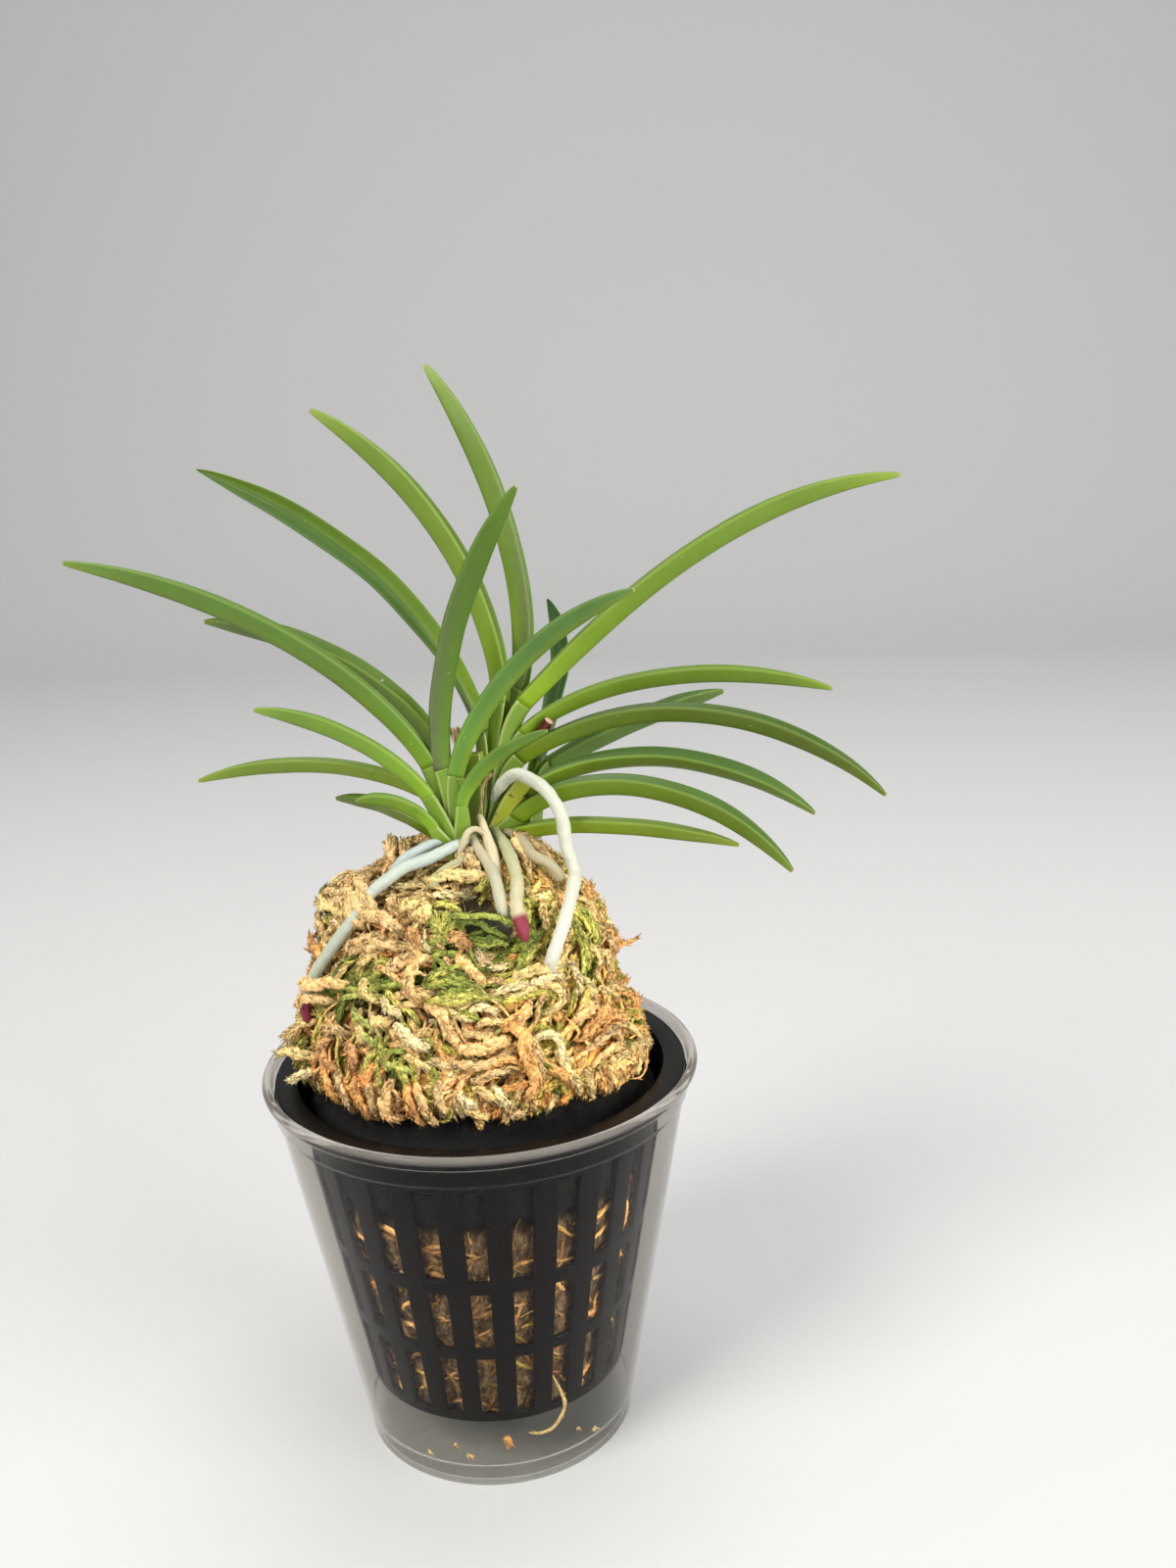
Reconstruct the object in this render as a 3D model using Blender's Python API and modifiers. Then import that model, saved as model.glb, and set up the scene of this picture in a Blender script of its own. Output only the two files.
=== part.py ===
"""A wind orchid growing in long-fibred moss, in a slotted net pot that stands in a clear cup.

Lengths are in millimetres times MM, heights above the flat base of the cup, and the
upright axis of the two pots is Z.  +X is the side the longest leaves point to and -Y is the
side the longest aerial root hangs on.
"""

import math

import bmesh
import bpy
import numpy as np

for old in list(bpy.data.objects):
    bpy.data.objects.remove(old, do_unlink=True)

MM = 0.001
GAP = 0.4  # clearance between a blade and its leaf base

# Clear cup
CUP_RIM_R = 45.0
CUP_HEIGHT = 83.4
CUP_BASE_R = 28.5
CUP_FOOT_H = 5.0
CUP_BAND_Z = 76.0
CUP_BAND_R = 42.3
CUP_WALL = 0.9

# Net pot
POT_LIP_R = 42.4
POT_LIP_TOP = 82.0
POT_LIP_THICK = 1.3
POT_TOP_R = 38.4  # outside of the wall under the lip
POT_BASE_R = 27.0
POT_BASE_Z = 13.2
POT_WALL = 0.95
SLOTS_AROUND = 24
SLOT_WIDTH_DEG = 7.0
SLOT_FIRST_DEG = -87.9
SLOT_ROWS = ((51.0, 72.0), (34.3, 47.8), (17.2, 31.5))
FLOOR_SLOTS = 8

# Moss mound: height, radius at the sides and back, radius at the front
MOSS_PROFILE = (
    (14.7, 24.6, 24.6),
    (15.8, 25.8, 25.8),
    (30.0, 28.4, 28.4),
    (48.0, 31.5, 31.5),
    (66.0, 34.6, 34.6),
    (72.0, 34.8, 30.8),
    (78.0, 35.0, 30.2),
    (84.0, 36.2, 30.8),
    (90.0, 37.0, 32.3),
    (96.0, 35.6, 32.6),
    (102.0, 34.0, 31.8),
    (108.0, 32.0, 30.3),
    (114.0, 29.6, 28.4),
    (119.0, 26.8, 26.0),
    (123.5, 22.8, 22.2),
    (127.0, 18.0, 17.6),
    (129.3, 12.4, 12.2),
    (130.6, 6.6, 6.4),
)
MOSS_TOP = 131.1
MOSS_SEGMENTS = 48
MOSS_LUMP = 0.7

# Leaves: base of the blade (x, y, z), compass angle of the arch (0 = +X, 90 = +Y), swing of
# that angle along the blade, rise at the base and at the tip (degrees from level), bend (how
# late the arch turns over), length, depth from keel to margin, half of the open width, twist.
LEFT_FOOT = (-1.4, -6.0, 128.0)
LEFT_LEAVES = (
    ("leaf_left_01", (-6.0, -5.0, 146.5), 186, -6, 67, 11, 0.6, 81, 4.2, 2.5, 0),
    ("leaf_left_02", (-5.0, -1.0, 148.5), 172, 0, 80, 9, 0.4, 54, 3.4, 2.0, 0),
    ("leaf_left_03", (-6.4, -8.2, 141.7), 190, -10, 57, 10, 0.8, 38, 3.6, 2.3, 10),
    ("leaf_left_04", (-6.0, -1.5, 139.0), 171, 1, 37, -16, 0.6, 51, 2.6, 1.9, 0),
    ("leaf_left_05", (-6.0, -3.0, 133.5), 150, 0, 18, -5, 1.4, 26, 2.6, 1.8, 0),
    ("leaf_left_06", (-5.6, -9.6, 136.1), 203, -8, 66, 0, 0.8, 17, 2.4, 1.6, 0),
    ("leaf_left_07", (-3.2, -6.0, 150.0), 330, -7, 103, 51, 0.4, 57, 4.6, 2.4, 0),
    ("leaf_left_08", (0.0, -6.7, 145.4), 343, -16, 77, 20, 0.7, 56, 4.0, 2.4, 0),
    ("leaf_left_09", (1.1, -8.9, 139.8), 328, -4, 98, 21, 0.3, 28, 3.0, 2.0, 0),
)
MAIN_FOOT = (5.8, 2.0, 130.0)
MAIN_LEAVES = (
    ("leaf_main_01", (11.0, 4.5, 160.0), 157, -7, 108, 51, 0.7, 67, 4.2, 2.5, 0),
    ("leaf_main_02", (7.5, 1.8, 157.8), 160, -7, 97, 26, 0.7, 73, 4.2, 2.6, 0),
    ("leaf_main_03", (3.7, 1.0, 151.8), 168, 7, 78, 21, 0.7, 78, 4.2, 3.4, 40),
    ("leaf_main_04", (13.8, 1.0, 157.0), 3, 11, 45, 3, 1.7, 86, 4.0, 2.5, 0),
    ("leaf_main_05", (12.9, 1.0, 150.7), 355, 2, 47, -15, 0.6, 63, 3.8, 2.4, 0),
    ("leaf_main_06", (12.0, 0.0, 144.5), 346, 6, 40, -45, 1.0, 77, 4.2, 2.6, 10),
    ("leaf_main_07", (12.0, 1.0, 139.0), 354, 4, 36, -37, 0.8, 61, 3.6, 2.5, 12),
    ("leaf_main_08", (10.5, -1.0, 134.4), 346, 6, 48, -49, 0.7, 61, 3.8, 2.6, 12),
    ("leaf_main_09", (11.0, 3.6, 132.0), 350, -1, 8, -12, 0.9, 43, 3.0, 2.0, 0),
)
BACK_FOOT = (12.0, 10.5, 127.0)
BACK_LEAVES = (
    ("leaf_back_01", (14.2, 12.5, 142.6), 47, 74, 59, 48, 0.9, 38, 3.6, 2.2, 0),
    ("leaf_back_02", (16.6, 8.6, 142.5), 23, 0, 21, 8, 1.6, 41, 3.6, 2.2, 0),
)
LEAF_THICK = 0.9
LEAF_STATIONS = 14

# Roots: points of the centre line (x, y, z) from the plant to the tip, then the radius
ROOTS = (
    ("root_01", 1.45, ((6.8, -3.6, 141.6), (9.6, -5.2, 144.8), (12.1, -6.4, 145.6),
                       (16.6, -7.6, 142.3), (19.5, -8.0, 137.2), (20.4, -8.0, 130.4),
                       (21.8, -9.0, 126.0), (21.6, -13.4, 124.0), (20.7, -20.0, 120.6),
                       (19.3, -24.6, 116.2), (18.0, -27.4, 112.0))),
    ("root_02", 1.4, ((7.6, -6.2, 131.6), (9.9, -12.5, 129.8), (11.3, -18.0, 127.4),
                      (11.5, -23.2, 124.2), (12.6, -26.0, 121.0), (13.2, -27.4, 118.4))),
    ("root_03", 1.2, ((4.3, -5.6, 134.8), (5.3, -8.6, 132.6), (6.0, -10.6, 131.5))),
    ("root_04", 1.2, ((2.4, -8.9, 132.6), (5.0, -13.0, 129.9), (7.0, -17.2, 127.9),
                      (8.7, -23.2, 123.9))),
    ("root_05", 1.3, ((-5.6, -10.0, 132.5), (-8.2, -11.2, 131.5), (-11.0, -12.5, 130.3))),
    ("root_06", 1.3, ((-1.2, -11.2, 132.2), (-5.6, -14.0, 131.0), (-10.4, -15.2, 129.6),
                      (-13.3, -16.6, 128.0), (-17.3, -17.6, 125.2), (-20.4, -19.0, 121.6),
                      (-25.8, -18.0, 115.4), (-31.8, -14.0, 106.4), (-34.2, -13.4, 99.8))),
    ("root_07", 1.0, ((1.1, -12.6, 130.6), (-1.4, -14.8, 129.5), (-3.7, -16.6, 128.5))),
    ("root_08", 0.95, ((2.7, -9.0, 135.2), (1.8, -10.6, 135.6), (0.9, -11.3, 134.4))),
    ("root_09", 1.2, ((11.0, -4.6, 131.4), (13.9, -9.4, 129.6), (17.2, -10.4, 127.8))),
)

FLOWER_STUB = ("cut_flower_stem", 1.25, ((10.8, 4.4, 144.0), (14.0, 5.6, 147.4), (18.2, 6.8, 151.6)))
DRY_SHEATHS = (
    ("dry_sheath_1", ((1.6, 0.2, 143.0), (0.6, -0.2, 148.0), (0.2, -0.6, 153.5)), 2.2),
    ("dry_sheath_2", ((2.9, -3.3, 137.4), (3.9, -3.6, 141.0), (4.7, -4.2, 143.8)), 1.6),
)


def material(name, colour, roughness, transmission=0.0):
    """A plain Principled material."""
    made = bpy.data.materials.new(name)
    made.use_nodes = True
    shader = made.node_tree.nodes["Principled BSDF"]
    shader.inputs["Base Color"].default_value = (*colour, 1.0)
    shader.inputs["Roughness"].default_value = roughness
    shader.inputs["Transmission Weight"].default_value = transmission
    return made


CLEAR = material("clear_plastic", (0.93, 0.94, 0.94), 0.08, 1.0)
BLACK = material("black_plastic", (0.012, 0.012, 0.013), 0.3)
MOSS = material("dried_moss", (0.62, 0.46, 0.22), 0.95)
LEAF = material("leaf_green", (0.10, 0.22, 0.03), 0.4)
SHEATH = material("sheath_yellow_green", (0.30, 0.40, 0.06), 0.45)
ROOT = material("silver_root", (0.66, 0.68, 0.60), 0.7)
STUB = material("flower_stem_red", (0.20, 0.03, 0.03), 0.5)
PAPER = material("dry_sheath_brown", (0.45, 0.28, 0.12), 0.9)

plant = bpy.data.collections.new("wind_orchid")
helpers = bpy.data.collections.new("helpers")
bpy.context.scene.collection.children.link(plant)
bpy.context.scene.collection.children.link(helpers)


def place(name, mesh, mat, collection=plant, smooth=True):
    """Links a mesh as one named piece."""
    obj = bpy.data.objects.new(name, mesh)
    collection.objects.link(obj)
    if mat:
        mesh.materials.append(mat)
    if smooth:
        mesh.polygons.foreach_set("use_smooth", [True] * len(mesh.polygons))
    if collection is helpers:
        obj.hide_render = True
        obj.display_type = "WIRE"
    return obj


def turned(name, profile, steps, mat):
    """Turns a profile of (radius, height) points round the Z axis with a Screw modifier."""
    mesh = bpy.data.meshes.new(name)
    points = [(r * MM, 0.0, z * MM) for r, z in profile]
    edges = [(i, i + 1) for i in range(len(points) - 1)]
    mesh.from_pydata(points, edges, [])
    obj = place(name, mesh, mat)
    screw = obj.modifiers.new("turn", "SCREW")
    screw.angle = 2 * math.pi
    screw.steps = steps
    screw.render_steps = steps
    screw.axis = "Z"
    screw.use_merge_vertices = True
    screw.merge_threshold = 0.00005
    screw.use_smooth_shade = True
    return obj


def boolean(obj, other, operation):
    """Adds an exact Boolean of obj with another object."""
    step = obj.modifiers.new(operation.lower(), "BOOLEAN")
    step.operation = operation
    step.solver = "EXACT"
    step.object = other
    step.use_self = operation == "UNION"
    return step


def loft(name, rings, mat, collection=plant):
    """Skins a row of closed rings, all with the same count of points, and closes both ends."""
    mesh = bpy.data.meshes.new(name)
    build = bmesh.new()
    rows = [[build.verts.new([c * MM for c in point]) for point in ring] for ring in rings]
    count = len(rows[0])
    for low, high in zip(rows, rows[1:]):
        for i in range(count):
            j = (i + 1) % count
            build.faces.new((low[i], low[j], high[j], high[i]))
    for row in (rows[0], rows[-1]):
        centre = build.verts.new(sum((v.co for v in row[1:]), row[0].co.copy()) / count)
        for i in range(count):
            build.faces.new((row[i], row[(i + 1) % count], centre))
    bmesh.ops.recalc_face_normals(build, faces=build.faces)
    if build.calc_volume(signed=True) < 0:
        bmesh.ops.reverse_faces(build, faces=build.faces)
    build.to_mesh(mesh)
    build.free()
    return place(name, mesh, mat, collection)


def heading(compass, rise):
    """Unit vector of a direction given as a compass angle and a rise, in degrees."""
    a = math.radians(compass)
    e = math.radians(rise)
    return np.array([math.cos(e) * math.cos(a), math.cos(e) * math.sin(a), math.sin(e)])


def section_axes(compass, rise, twist):
    """Across and up vectors of a section square to the heading, turned by the twist."""
    a = math.radians(compass)
    across = np.array([-math.sin(a), math.cos(a), 0.0])
    up = np.cross(heading(compass, rise), across)
    t = math.radians(twist)
    return math.cos(t) * across + math.sin(t) * up, math.cos(t) * up - math.sin(t) * across


def blade(name, base, compass, swing, rise, fall, bend, length, depth, half, twist, mat):
    """A keeled leaf blade: a V section carried along an arch and tapered to its tip.

    The rise at a share s of the length is rise + (fall - rise) * s ** bend, and the centre
    line is the running sum of the headings.  The lower outline of the section is a curve
    from margin to keel to margin and the upper one is a shallower copy of it.
    """
    rings = []
    shares = np.linspace(0.0, 1.0, LEAF_STATIONS)
    point = np.array(base) + GAP * heading(compass, rise)
    last = 0.0
    for s in shares:
        middle = 0.5 * (s + last)
        point = point + (s - last) * length * heading(
            compass + swing * middle, rise + (fall - rise) * middle**bend)
        last = s
        across, up = section_axes(compass + swing * s, rise + (fall - rise) * s**bend, twist * s)
        grow = 0.70 + 0.30 * min(1.0, s / 0.2)
        taper = 1.0 if s < 0.7 else math.sqrt(max(0.0, 1.0 - ((s - 0.7) / 0.303) ** 2))
        taper = max(taper, 0.12)
        h = half * grow * taper
        d = depth * grow * (0.35 + 0.65 * taper)
        t = LEAF_THICK * (0.5 + 0.5 * taper)
        d = max(d, t * 1.1)
        outer = [(u * h, d * abs(u) ** 1.3 - d / 2) for u in (-1.0, -0.6, 0.0, 0.6, 1.0)]
        inner = [(u * h, d * abs(u) ** 1.3 - d / 2 + t) for u in (0.55, 0.0, -0.55)]
        rings.append([point + a * across + b * up for a, b in outer + inner])
    return loft(name, rings, mat)


def hermite(start, end, leave, arrive, count):
    """Points and tangents of a smooth curve from start to end with the given tangents."""
    points = []
    for t in np.linspace(0.0, 1.0, count):
        place_at = ((2 * t**3 - 3 * t**2 + 1) * start + (t**3 - 2 * t**2 + t) * leave
                    + (3 * t**2 - 2 * t**3) * end + (t**3 - t**2) * arrive)
        tangent = ((6 * t**2 - 6 * t) * start + (3 * t**2 - 4 * t + 1) * leave
                   + (6 * t - 6 * t**2) * end + (3 * t**2 - 2 * t) * arrive)
        points.append((t, place_at, tangent / np.linalg.norm(tangent)))
    return points


def sheath(name, foot, leaf, spin):
    """One leaf base: a flattened tube from the foot of the growth to the joint of its blade."""
    joint, compass, rise, depth, half = np.array(leaf[1]), leaf[2], leaf[4], leaf[8], leaf[9]
    foot = np.array(foot)
    reach = float(np.linalg.norm(joint - foot))
    leave = 0.45 * (joint - foot) + np.array([0.0, 0.0, 0.4 * reach])
    arrive = heading(compass, rise) * reach * 0.6
    across = section_axes(compass, rise, 0)[0]
    rings = []
    for t, point, tangent in hermite(foot, joint, leave, arrive, 7):
        side = across - tangent * float(across @ tangent)
        side = side / np.linalg.norm(side)
        up = np.cross(tangent, side)
        wide = (1.0 - t) * 1.7 + t * half * 0.66
        deep = (1.0 - t) * 1.9 + t * depth * 0.36
        rings.append([point + wide * math.cos(a) * side + deep * math.sin(a) * up
                      for a in np.arange(8) * math.pi / 4 + spin])
    return loft(name, rings, None, helpers)


def growth(name, foot, leaves, mat):
    """The short stem of one growth with all its leaf bases, united into one solid."""
    foot = np.array(foot)
    crown = np.mean([leaf[1] for leaf in leaves], axis=0)
    rings = []
    for t in np.linspace(0.0, 1.0, 6):
        middle = foot + (crown - foot) * t * 0.8
        wide = 2.9 * (1.0 - 0.45 * t)
        rings.append([middle + np.array([wide * math.cos(a), 0.9 * wide * math.sin(a), 0.0])
                      for a in np.arange(10) * math.pi / 5])
    stem = loft(name, rings, mat)
    for i, leaf in enumerate(leaves):
        turn = 2.4 * i
        start = foot + np.array([0.5 * math.cos(turn), 0.4 * math.sin(turn), 1.1 + 0.23 * i])
        boolean(stem, sheath(leaf[0] + "_sheath", start, leaf, 0.3 + 0.07 * i), "UNION")
    return stem


def tube(name, radius, points, mat, ends=(0.75, 0.55), sides=8, collection=plant):
    """A round root or stem: rings round a smooth curve through the points, rounded ends."""
    knots = np.array(points)
    fine = []
    for i in range(len(knots) - 1):
        before = knots[max(i - 1, 0)]
        after = knots[min(i + 2, len(knots) - 1)]
        leave = 0.5 * (knots[i + 1] - before)
        arrive = 0.5 * (after - knots[i])
        part = hermite(knots[i], knots[i + 1], leave, arrive, 4)
        fine += part if i == len(knots) - 2 else part[:-1]
    rings = []
    upright = np.array([0.0, 0.0, 1.0])
    last = len(fine) - 1
    for i, (_, point, tangent) in enumerate(fine):
        side = np.cross(tangent, upright if abs(tangent[2]) < 0.97 else np.array([0.0, 1.0, 0.0]))
        if rings and float(side @ kept) < 0:
            side = -side
        side = side / np.linalg.norm(side)
        kept = side
        up = np.cross(side, tangent)
        r = radius * (ends[0] if i == 0 else ends[1] if i == last else 1.0)
        rings.append([point + r * math.cos(a) * side + r * math.sin(a) * up
                      for a in np.arange(sides) * 2 * math.pi / sides])
    return loft(name, rings, mat, collection)


# ------------------------------------------------------------------ clear cup
# One turned shell: flat base, short upright foot, tapering wall, band and rolled rim.
cup_profile = (
    (0.0, 1.0),
    (CUP_BASE_R - 1.8, 1.0),
    (CUP_BASE_R - 1.0, 1.8),
    (CUP_BASE_R - 0.8, CUP_FOOT_H),
    (CUP_BASE_R - 0.2, CUP_FOOT_H + 0.9),
    (CUP_BAND_R - CUP_WALL, CUP_BAND_Z),
    (CUP_BAND_R - 0.3, CUP_BAND_Z + 3.6),
    (CUP_BAND_R + 0.6, CUP_BAND_Z + 4.2),
    (CUP_BAND_R + 0.7, CUP_HEIGHT - 1.0),
    (CUP_BAND_R + 1.0, CUP_HEIGHT - 0.3),
    (CUP_RIM_R - 1.1, CUP_HEIGHT),
    (CUP_RIM_R - 0.4, CUP_HEIGHT - 0.25),
    (CUP_RIM_R, CUP_HEIGHT - 1.0),
    (CUP_RIM_R - 0.2, CUP_HEIGHT - 1.9),
    (CUP_RIM_R - 0.9, CUP_HEIGHT - 2.3),
    (CUP_BAND_R + 1.3, CUP_HEIGHT - 2.5),
    (CUP_BAND_R + 0.7, CUP_BAND_Z + 0.9),
    (CUP_BAND_R, CUP_BAND_Z),
    (CUP_BASE_R + 0.7, CUP_FOOT_H + 0.6),
    (CUP_BASE_R + 0.2, CUP_FOOT_H),
    (CUP_BASE_R, 0.8),
    (CUP_BASE_R - 0.8, 0.0),
    (0.0, 0.0),
)
turned("clear_cup", cup_profile, 48, CLEAR)

# ------------------------------------------------------------------ net pot
# A turned pot with a flat lip, then three rows of slots and the floor slots cut through it.
pot_profile = (
    (0.0, POT_BASE_Z + 1.1),
    (POT_BASE_R - 1.8, POT_BASE_Z + 1.1),
    (POT_BASE_R - POT_WALL, POT_BASE_Z + 1.9),
    (POT_TOP_R - POT_WALL, POT_LIP_TOP - 2.0),
    (POT_TOP_R - 0.7, POT_LIP_TOP - 0.6),
    (POT_TOP_R - 0.1, POT_LIP_TOP),
    (POT_LIP_R - 0.4, POT_LIP_TOP),
    (POT_LIP_R, POT_LIP_TOP - 0.4),
    (POT_LIP_R, POT_LIP_TOP - POT_LIP_THICK + 0.3),
    (POT_LIP_R - 0.3, POT_LIP_TOP - POT_LIP_THICK),
    (POT_TOP_R + 0.4, POT_LIP_TOP - POT_LIP_THICK),
    (POT_TOP_R, POT_LIP_TOP - POT_LIP_THICK - 0.4),
    (POT_BASE_R, POT_BASE_Z + 0.9),
    (POT_BASE_R - 0.9, POT_BASE_Z),
    (0.0, POT_BASE_Z),
)
net_pot = turned("net_pot", pot_profile, 48, BLACK)

wedges = bpy.data.meshes.new("slot_wedges")
corners = []
sides = []
half_slot = math.radians(SLOT_WIDTH_DEG / 2)
for low, high in SLOT_ROWS:
    for k in range(SLOTS_AROUND):
        middle = math.radians(SLOT_FIRST_DEG + k * 360.0 / SLOTS_AROUND)
        first = len(corners)
        for z in (low, high):
            for r, a in ((21.0, -half_slot), (41.0, -half_slot), (41.0, half_slot), (21.0, half_slot)):
                corners.append((r * MM * math.cos(middle + a), r * MM * math.sin(middle + a), z * MM))
        sides += [[first + i for i in face] for face in (
            (3, 2, 1, 0), (4, 5, 6, 7), (0, 1, 5, 4), (1, 2, 6, 5), (2, 3, 7, 6), (3, 0, 4, 7))]
for k in range(FLOOR_SLOTS):
    middle = math.radians(SLOT_FIRST_DEG + (k + 0.5) * 360.0 / FLOOR_SLOTS)
    ray = np.array([math.cos(middle), math.sin(middle)])
    beside = np.array([-ray[1], ray[0]])
    first = len(corners)
    for z in (POT_BASE_Z - 2.0, POT_BASE_Z + 3.0):
        for r, w in ((9.0, -1.8), (21.0, -1.8), (21.0, 1.8), (9.0, 1.8)):
            flat = (r * ray + w * beside) * MM
            corners.append((flat[0], flat[1], z * MM))
    sides += [[first + i for i in face] for face in (
        (3, 2, 1, 0), (4, 5, 6, 7), (0, 1, 5, 4), (1, 2, 6, 5), (2, 3, 7, 6), (3, 0, 4, 7))]
wedges.from_pydata(corners, [], sides)
boolean(net_pot, place("slot_wedges", wedges, None, helpers, smooth=False), "DIFFERENCE")

# ------------------------------------------------------------------ moss mound
# A lumpy turned solid that fills the net pot and domes above it, with a pocket for each
# growth and a hollow in front of the crown.
moss_rings = []
for z, side_r, front_r in MOSS_PROFILE:
    ring = []
    for k in range(MOSS_SEGMENTS):
        a = 2 * math.pi * k / MOSS_SEGMENTS
        front = max(0.0, -math.sin(a)) ** 2
        lump = (math.sin(3 * a + 0.11 * z) * math.sin(0.31 * z + 2 * a)
                + 0.6 * math.sin(7 * a - 0.23 * z))
        r = side_r * (1 - front) + front_r * front
        r += MOSS_LUMP * lump if z > 87.0 else 0.0
        x = r * math.cos(a)
        y = r * math.sin(a)
        drop = 3.0 * math.exp(-((x - 3.0) ** 2 + (y + 17.0) ** 2) / 30.0) if z > 116.0 else 0.0
        ring.append((x, y, z - drop))
    moss_rings.append(ring)
moss = loft("moss_mound", moss_rings, MOSS)
moss.data.vertices[-1].co.z = MOSS_TOP * MM

pockets = (("pocket_left", LEFT_FOOT, 4.2), ("pocket_main", MAIN_FOOT, 4.2),
           ("pocket_back", BACK_FOOT, 4.2))
for name, foot, radius in pockets:
    rings = [[(foot[0] + r * math.cos(a), foot[1] + r * math.sin(a), z)
              for a in np.arange(14) * math.pi / 7]
             for r, z in ((radius * 0.8, foot[2] - 0.4), (radius, foot[2] + 1.5), (radius * 1.3, foot[2] + 9.0))]
    boolean(moss, loft(name, rings, None, helpers), "DIFFERENCE")

# ------------------------------------------------------------------ growths and leaves
# Three fans: each has one stem with its leaf bases, and every blade is a piece of its own.
for stem_name, foot, leaves in (("left_growth_stem", LEFT_FOOT, LEFT_LEAVES),
                                ("main_growth_stem", MAIN_FOOT, MAIN_LEAVES),
                                ("back_growth_stem", BACK_FOOT, BACK_LEAVES)):
    growth(stem_name, foot, leaves, SHEATH)
    for leaf in leaves:
        blade(*leaf, LEAF)

# ------------------------------------------------------------------ roots, stub, dry sheaths
# Aerial roots lie on the moss; the stub is a flower stem cut short; the dry sheaths are
# papery strips left between the fans.
for name, radius, points in ROOTS:
    tube(name, radius, points, ROOT)
tube(FLOWER_STUB[0], FLOWER_STUB[1], FLOWER_STUB[2], STUB, ends=(1.0, 0.97))
for name, points, width in DRY_SHEATHS:
    rings = []
    for _, point, tangent in hermite(np.array(points[0]), np.array(points[2]),
                                     np.array(points[1]) - np.array(points[0]),
                                     np.array(points[2]) - np.array(points[1]), 6):
        side = np.cross(tangent, np.array([0.0, 1.0, 0.0]))
        side = side / np.linalg.norm(side)
        up = np.cross(side, tangent)
        rings.append([point + u * width / 2 * side + (0.35 * u * u + v) * up
                      for u, v in ((-1, 0.0), (-0.5, 0.0), (0, 0.0), (0.5, 0.0), (1, 0.0),
                                   (0.9, 0.35), (0.5, 0.4), (0, 0.4), (-0.5, 0.4), (-0.9, 0.35))])
    loft(name, rings, PAPER)
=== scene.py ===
"""Looks of a wind orchid that grows in long-fibred moss in a slotted net pot, inside a clear cup.

Shapes are worked out in millimetres and made metres, the model's unit, by MM.  Finishes are
in metres.  +Z is up along the axis of the pots and -Y is the side towards the camera.  An
angle round Z is counted from +X, so the front lies at -90 degrees.
"""

import math

import bpy
import numpy as np
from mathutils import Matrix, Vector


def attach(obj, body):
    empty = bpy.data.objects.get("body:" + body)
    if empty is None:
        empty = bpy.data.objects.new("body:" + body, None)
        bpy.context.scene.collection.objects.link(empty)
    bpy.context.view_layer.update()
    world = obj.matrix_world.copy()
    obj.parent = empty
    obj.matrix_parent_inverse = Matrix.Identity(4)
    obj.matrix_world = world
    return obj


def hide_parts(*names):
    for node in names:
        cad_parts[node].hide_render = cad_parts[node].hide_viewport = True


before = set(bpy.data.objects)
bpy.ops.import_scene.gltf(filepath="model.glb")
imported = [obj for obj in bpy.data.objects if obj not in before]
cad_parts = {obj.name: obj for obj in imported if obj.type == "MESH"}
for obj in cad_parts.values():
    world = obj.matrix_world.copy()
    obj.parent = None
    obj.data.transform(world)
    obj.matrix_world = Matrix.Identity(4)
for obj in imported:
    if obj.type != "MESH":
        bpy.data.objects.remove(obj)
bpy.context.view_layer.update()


# ------------------------------------------------------------------ studio
# A pale matt floor that sweeps up into a wall behind the plant, a large soft light at the
# upper left, a weaker one at the right, and a camera a little above the rim.
MM = 0.001
CAMERA_PLACE = (39.3, -299.3, 221.8)
CAMERA_PITCH = -15.09
CAMERA_TURN = 2.8
CAMERA_ROLL = -2.39
CAMERA_LENS = 36.0
CAMERA_SENSOR = 36.0
FLOOR_FRONT = 2500.0
FLOOR_HALF_WIDTH = 3500.0
SWEEP_START = 900.0
SWEEP_R = 500.0
WALL_TOP = 3000.0
LIGHT_AIM = (0.0, 0.0, 0.12)


class Value:
    """A shader socket that takes part in arithmetic: every operator adds one Math node."""

    def __init__(self, finish, socket):
        self.finish = finish
        self.socket = socket

    def _math(self, operation, *values):
        return self.finish.node("Math", {"operation": operation}, dict(enumerate(values)))

    def __add__(self, other):
        return self._math("ADD", self, other)

    def __sub__(self, other):
        return self._math("SUBTRACT", self, other)

    def __rsub__(self, other):
        return self._math("SUBTRACT", other, self)

    def __mul__(self, other):
        return self._math("MULTIPLY", self, other)

    def __abs__(self):
        return self._math("ABSOLUTE", self)

    __radd__ = __add__
    __rmul__ = __mul__


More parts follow.
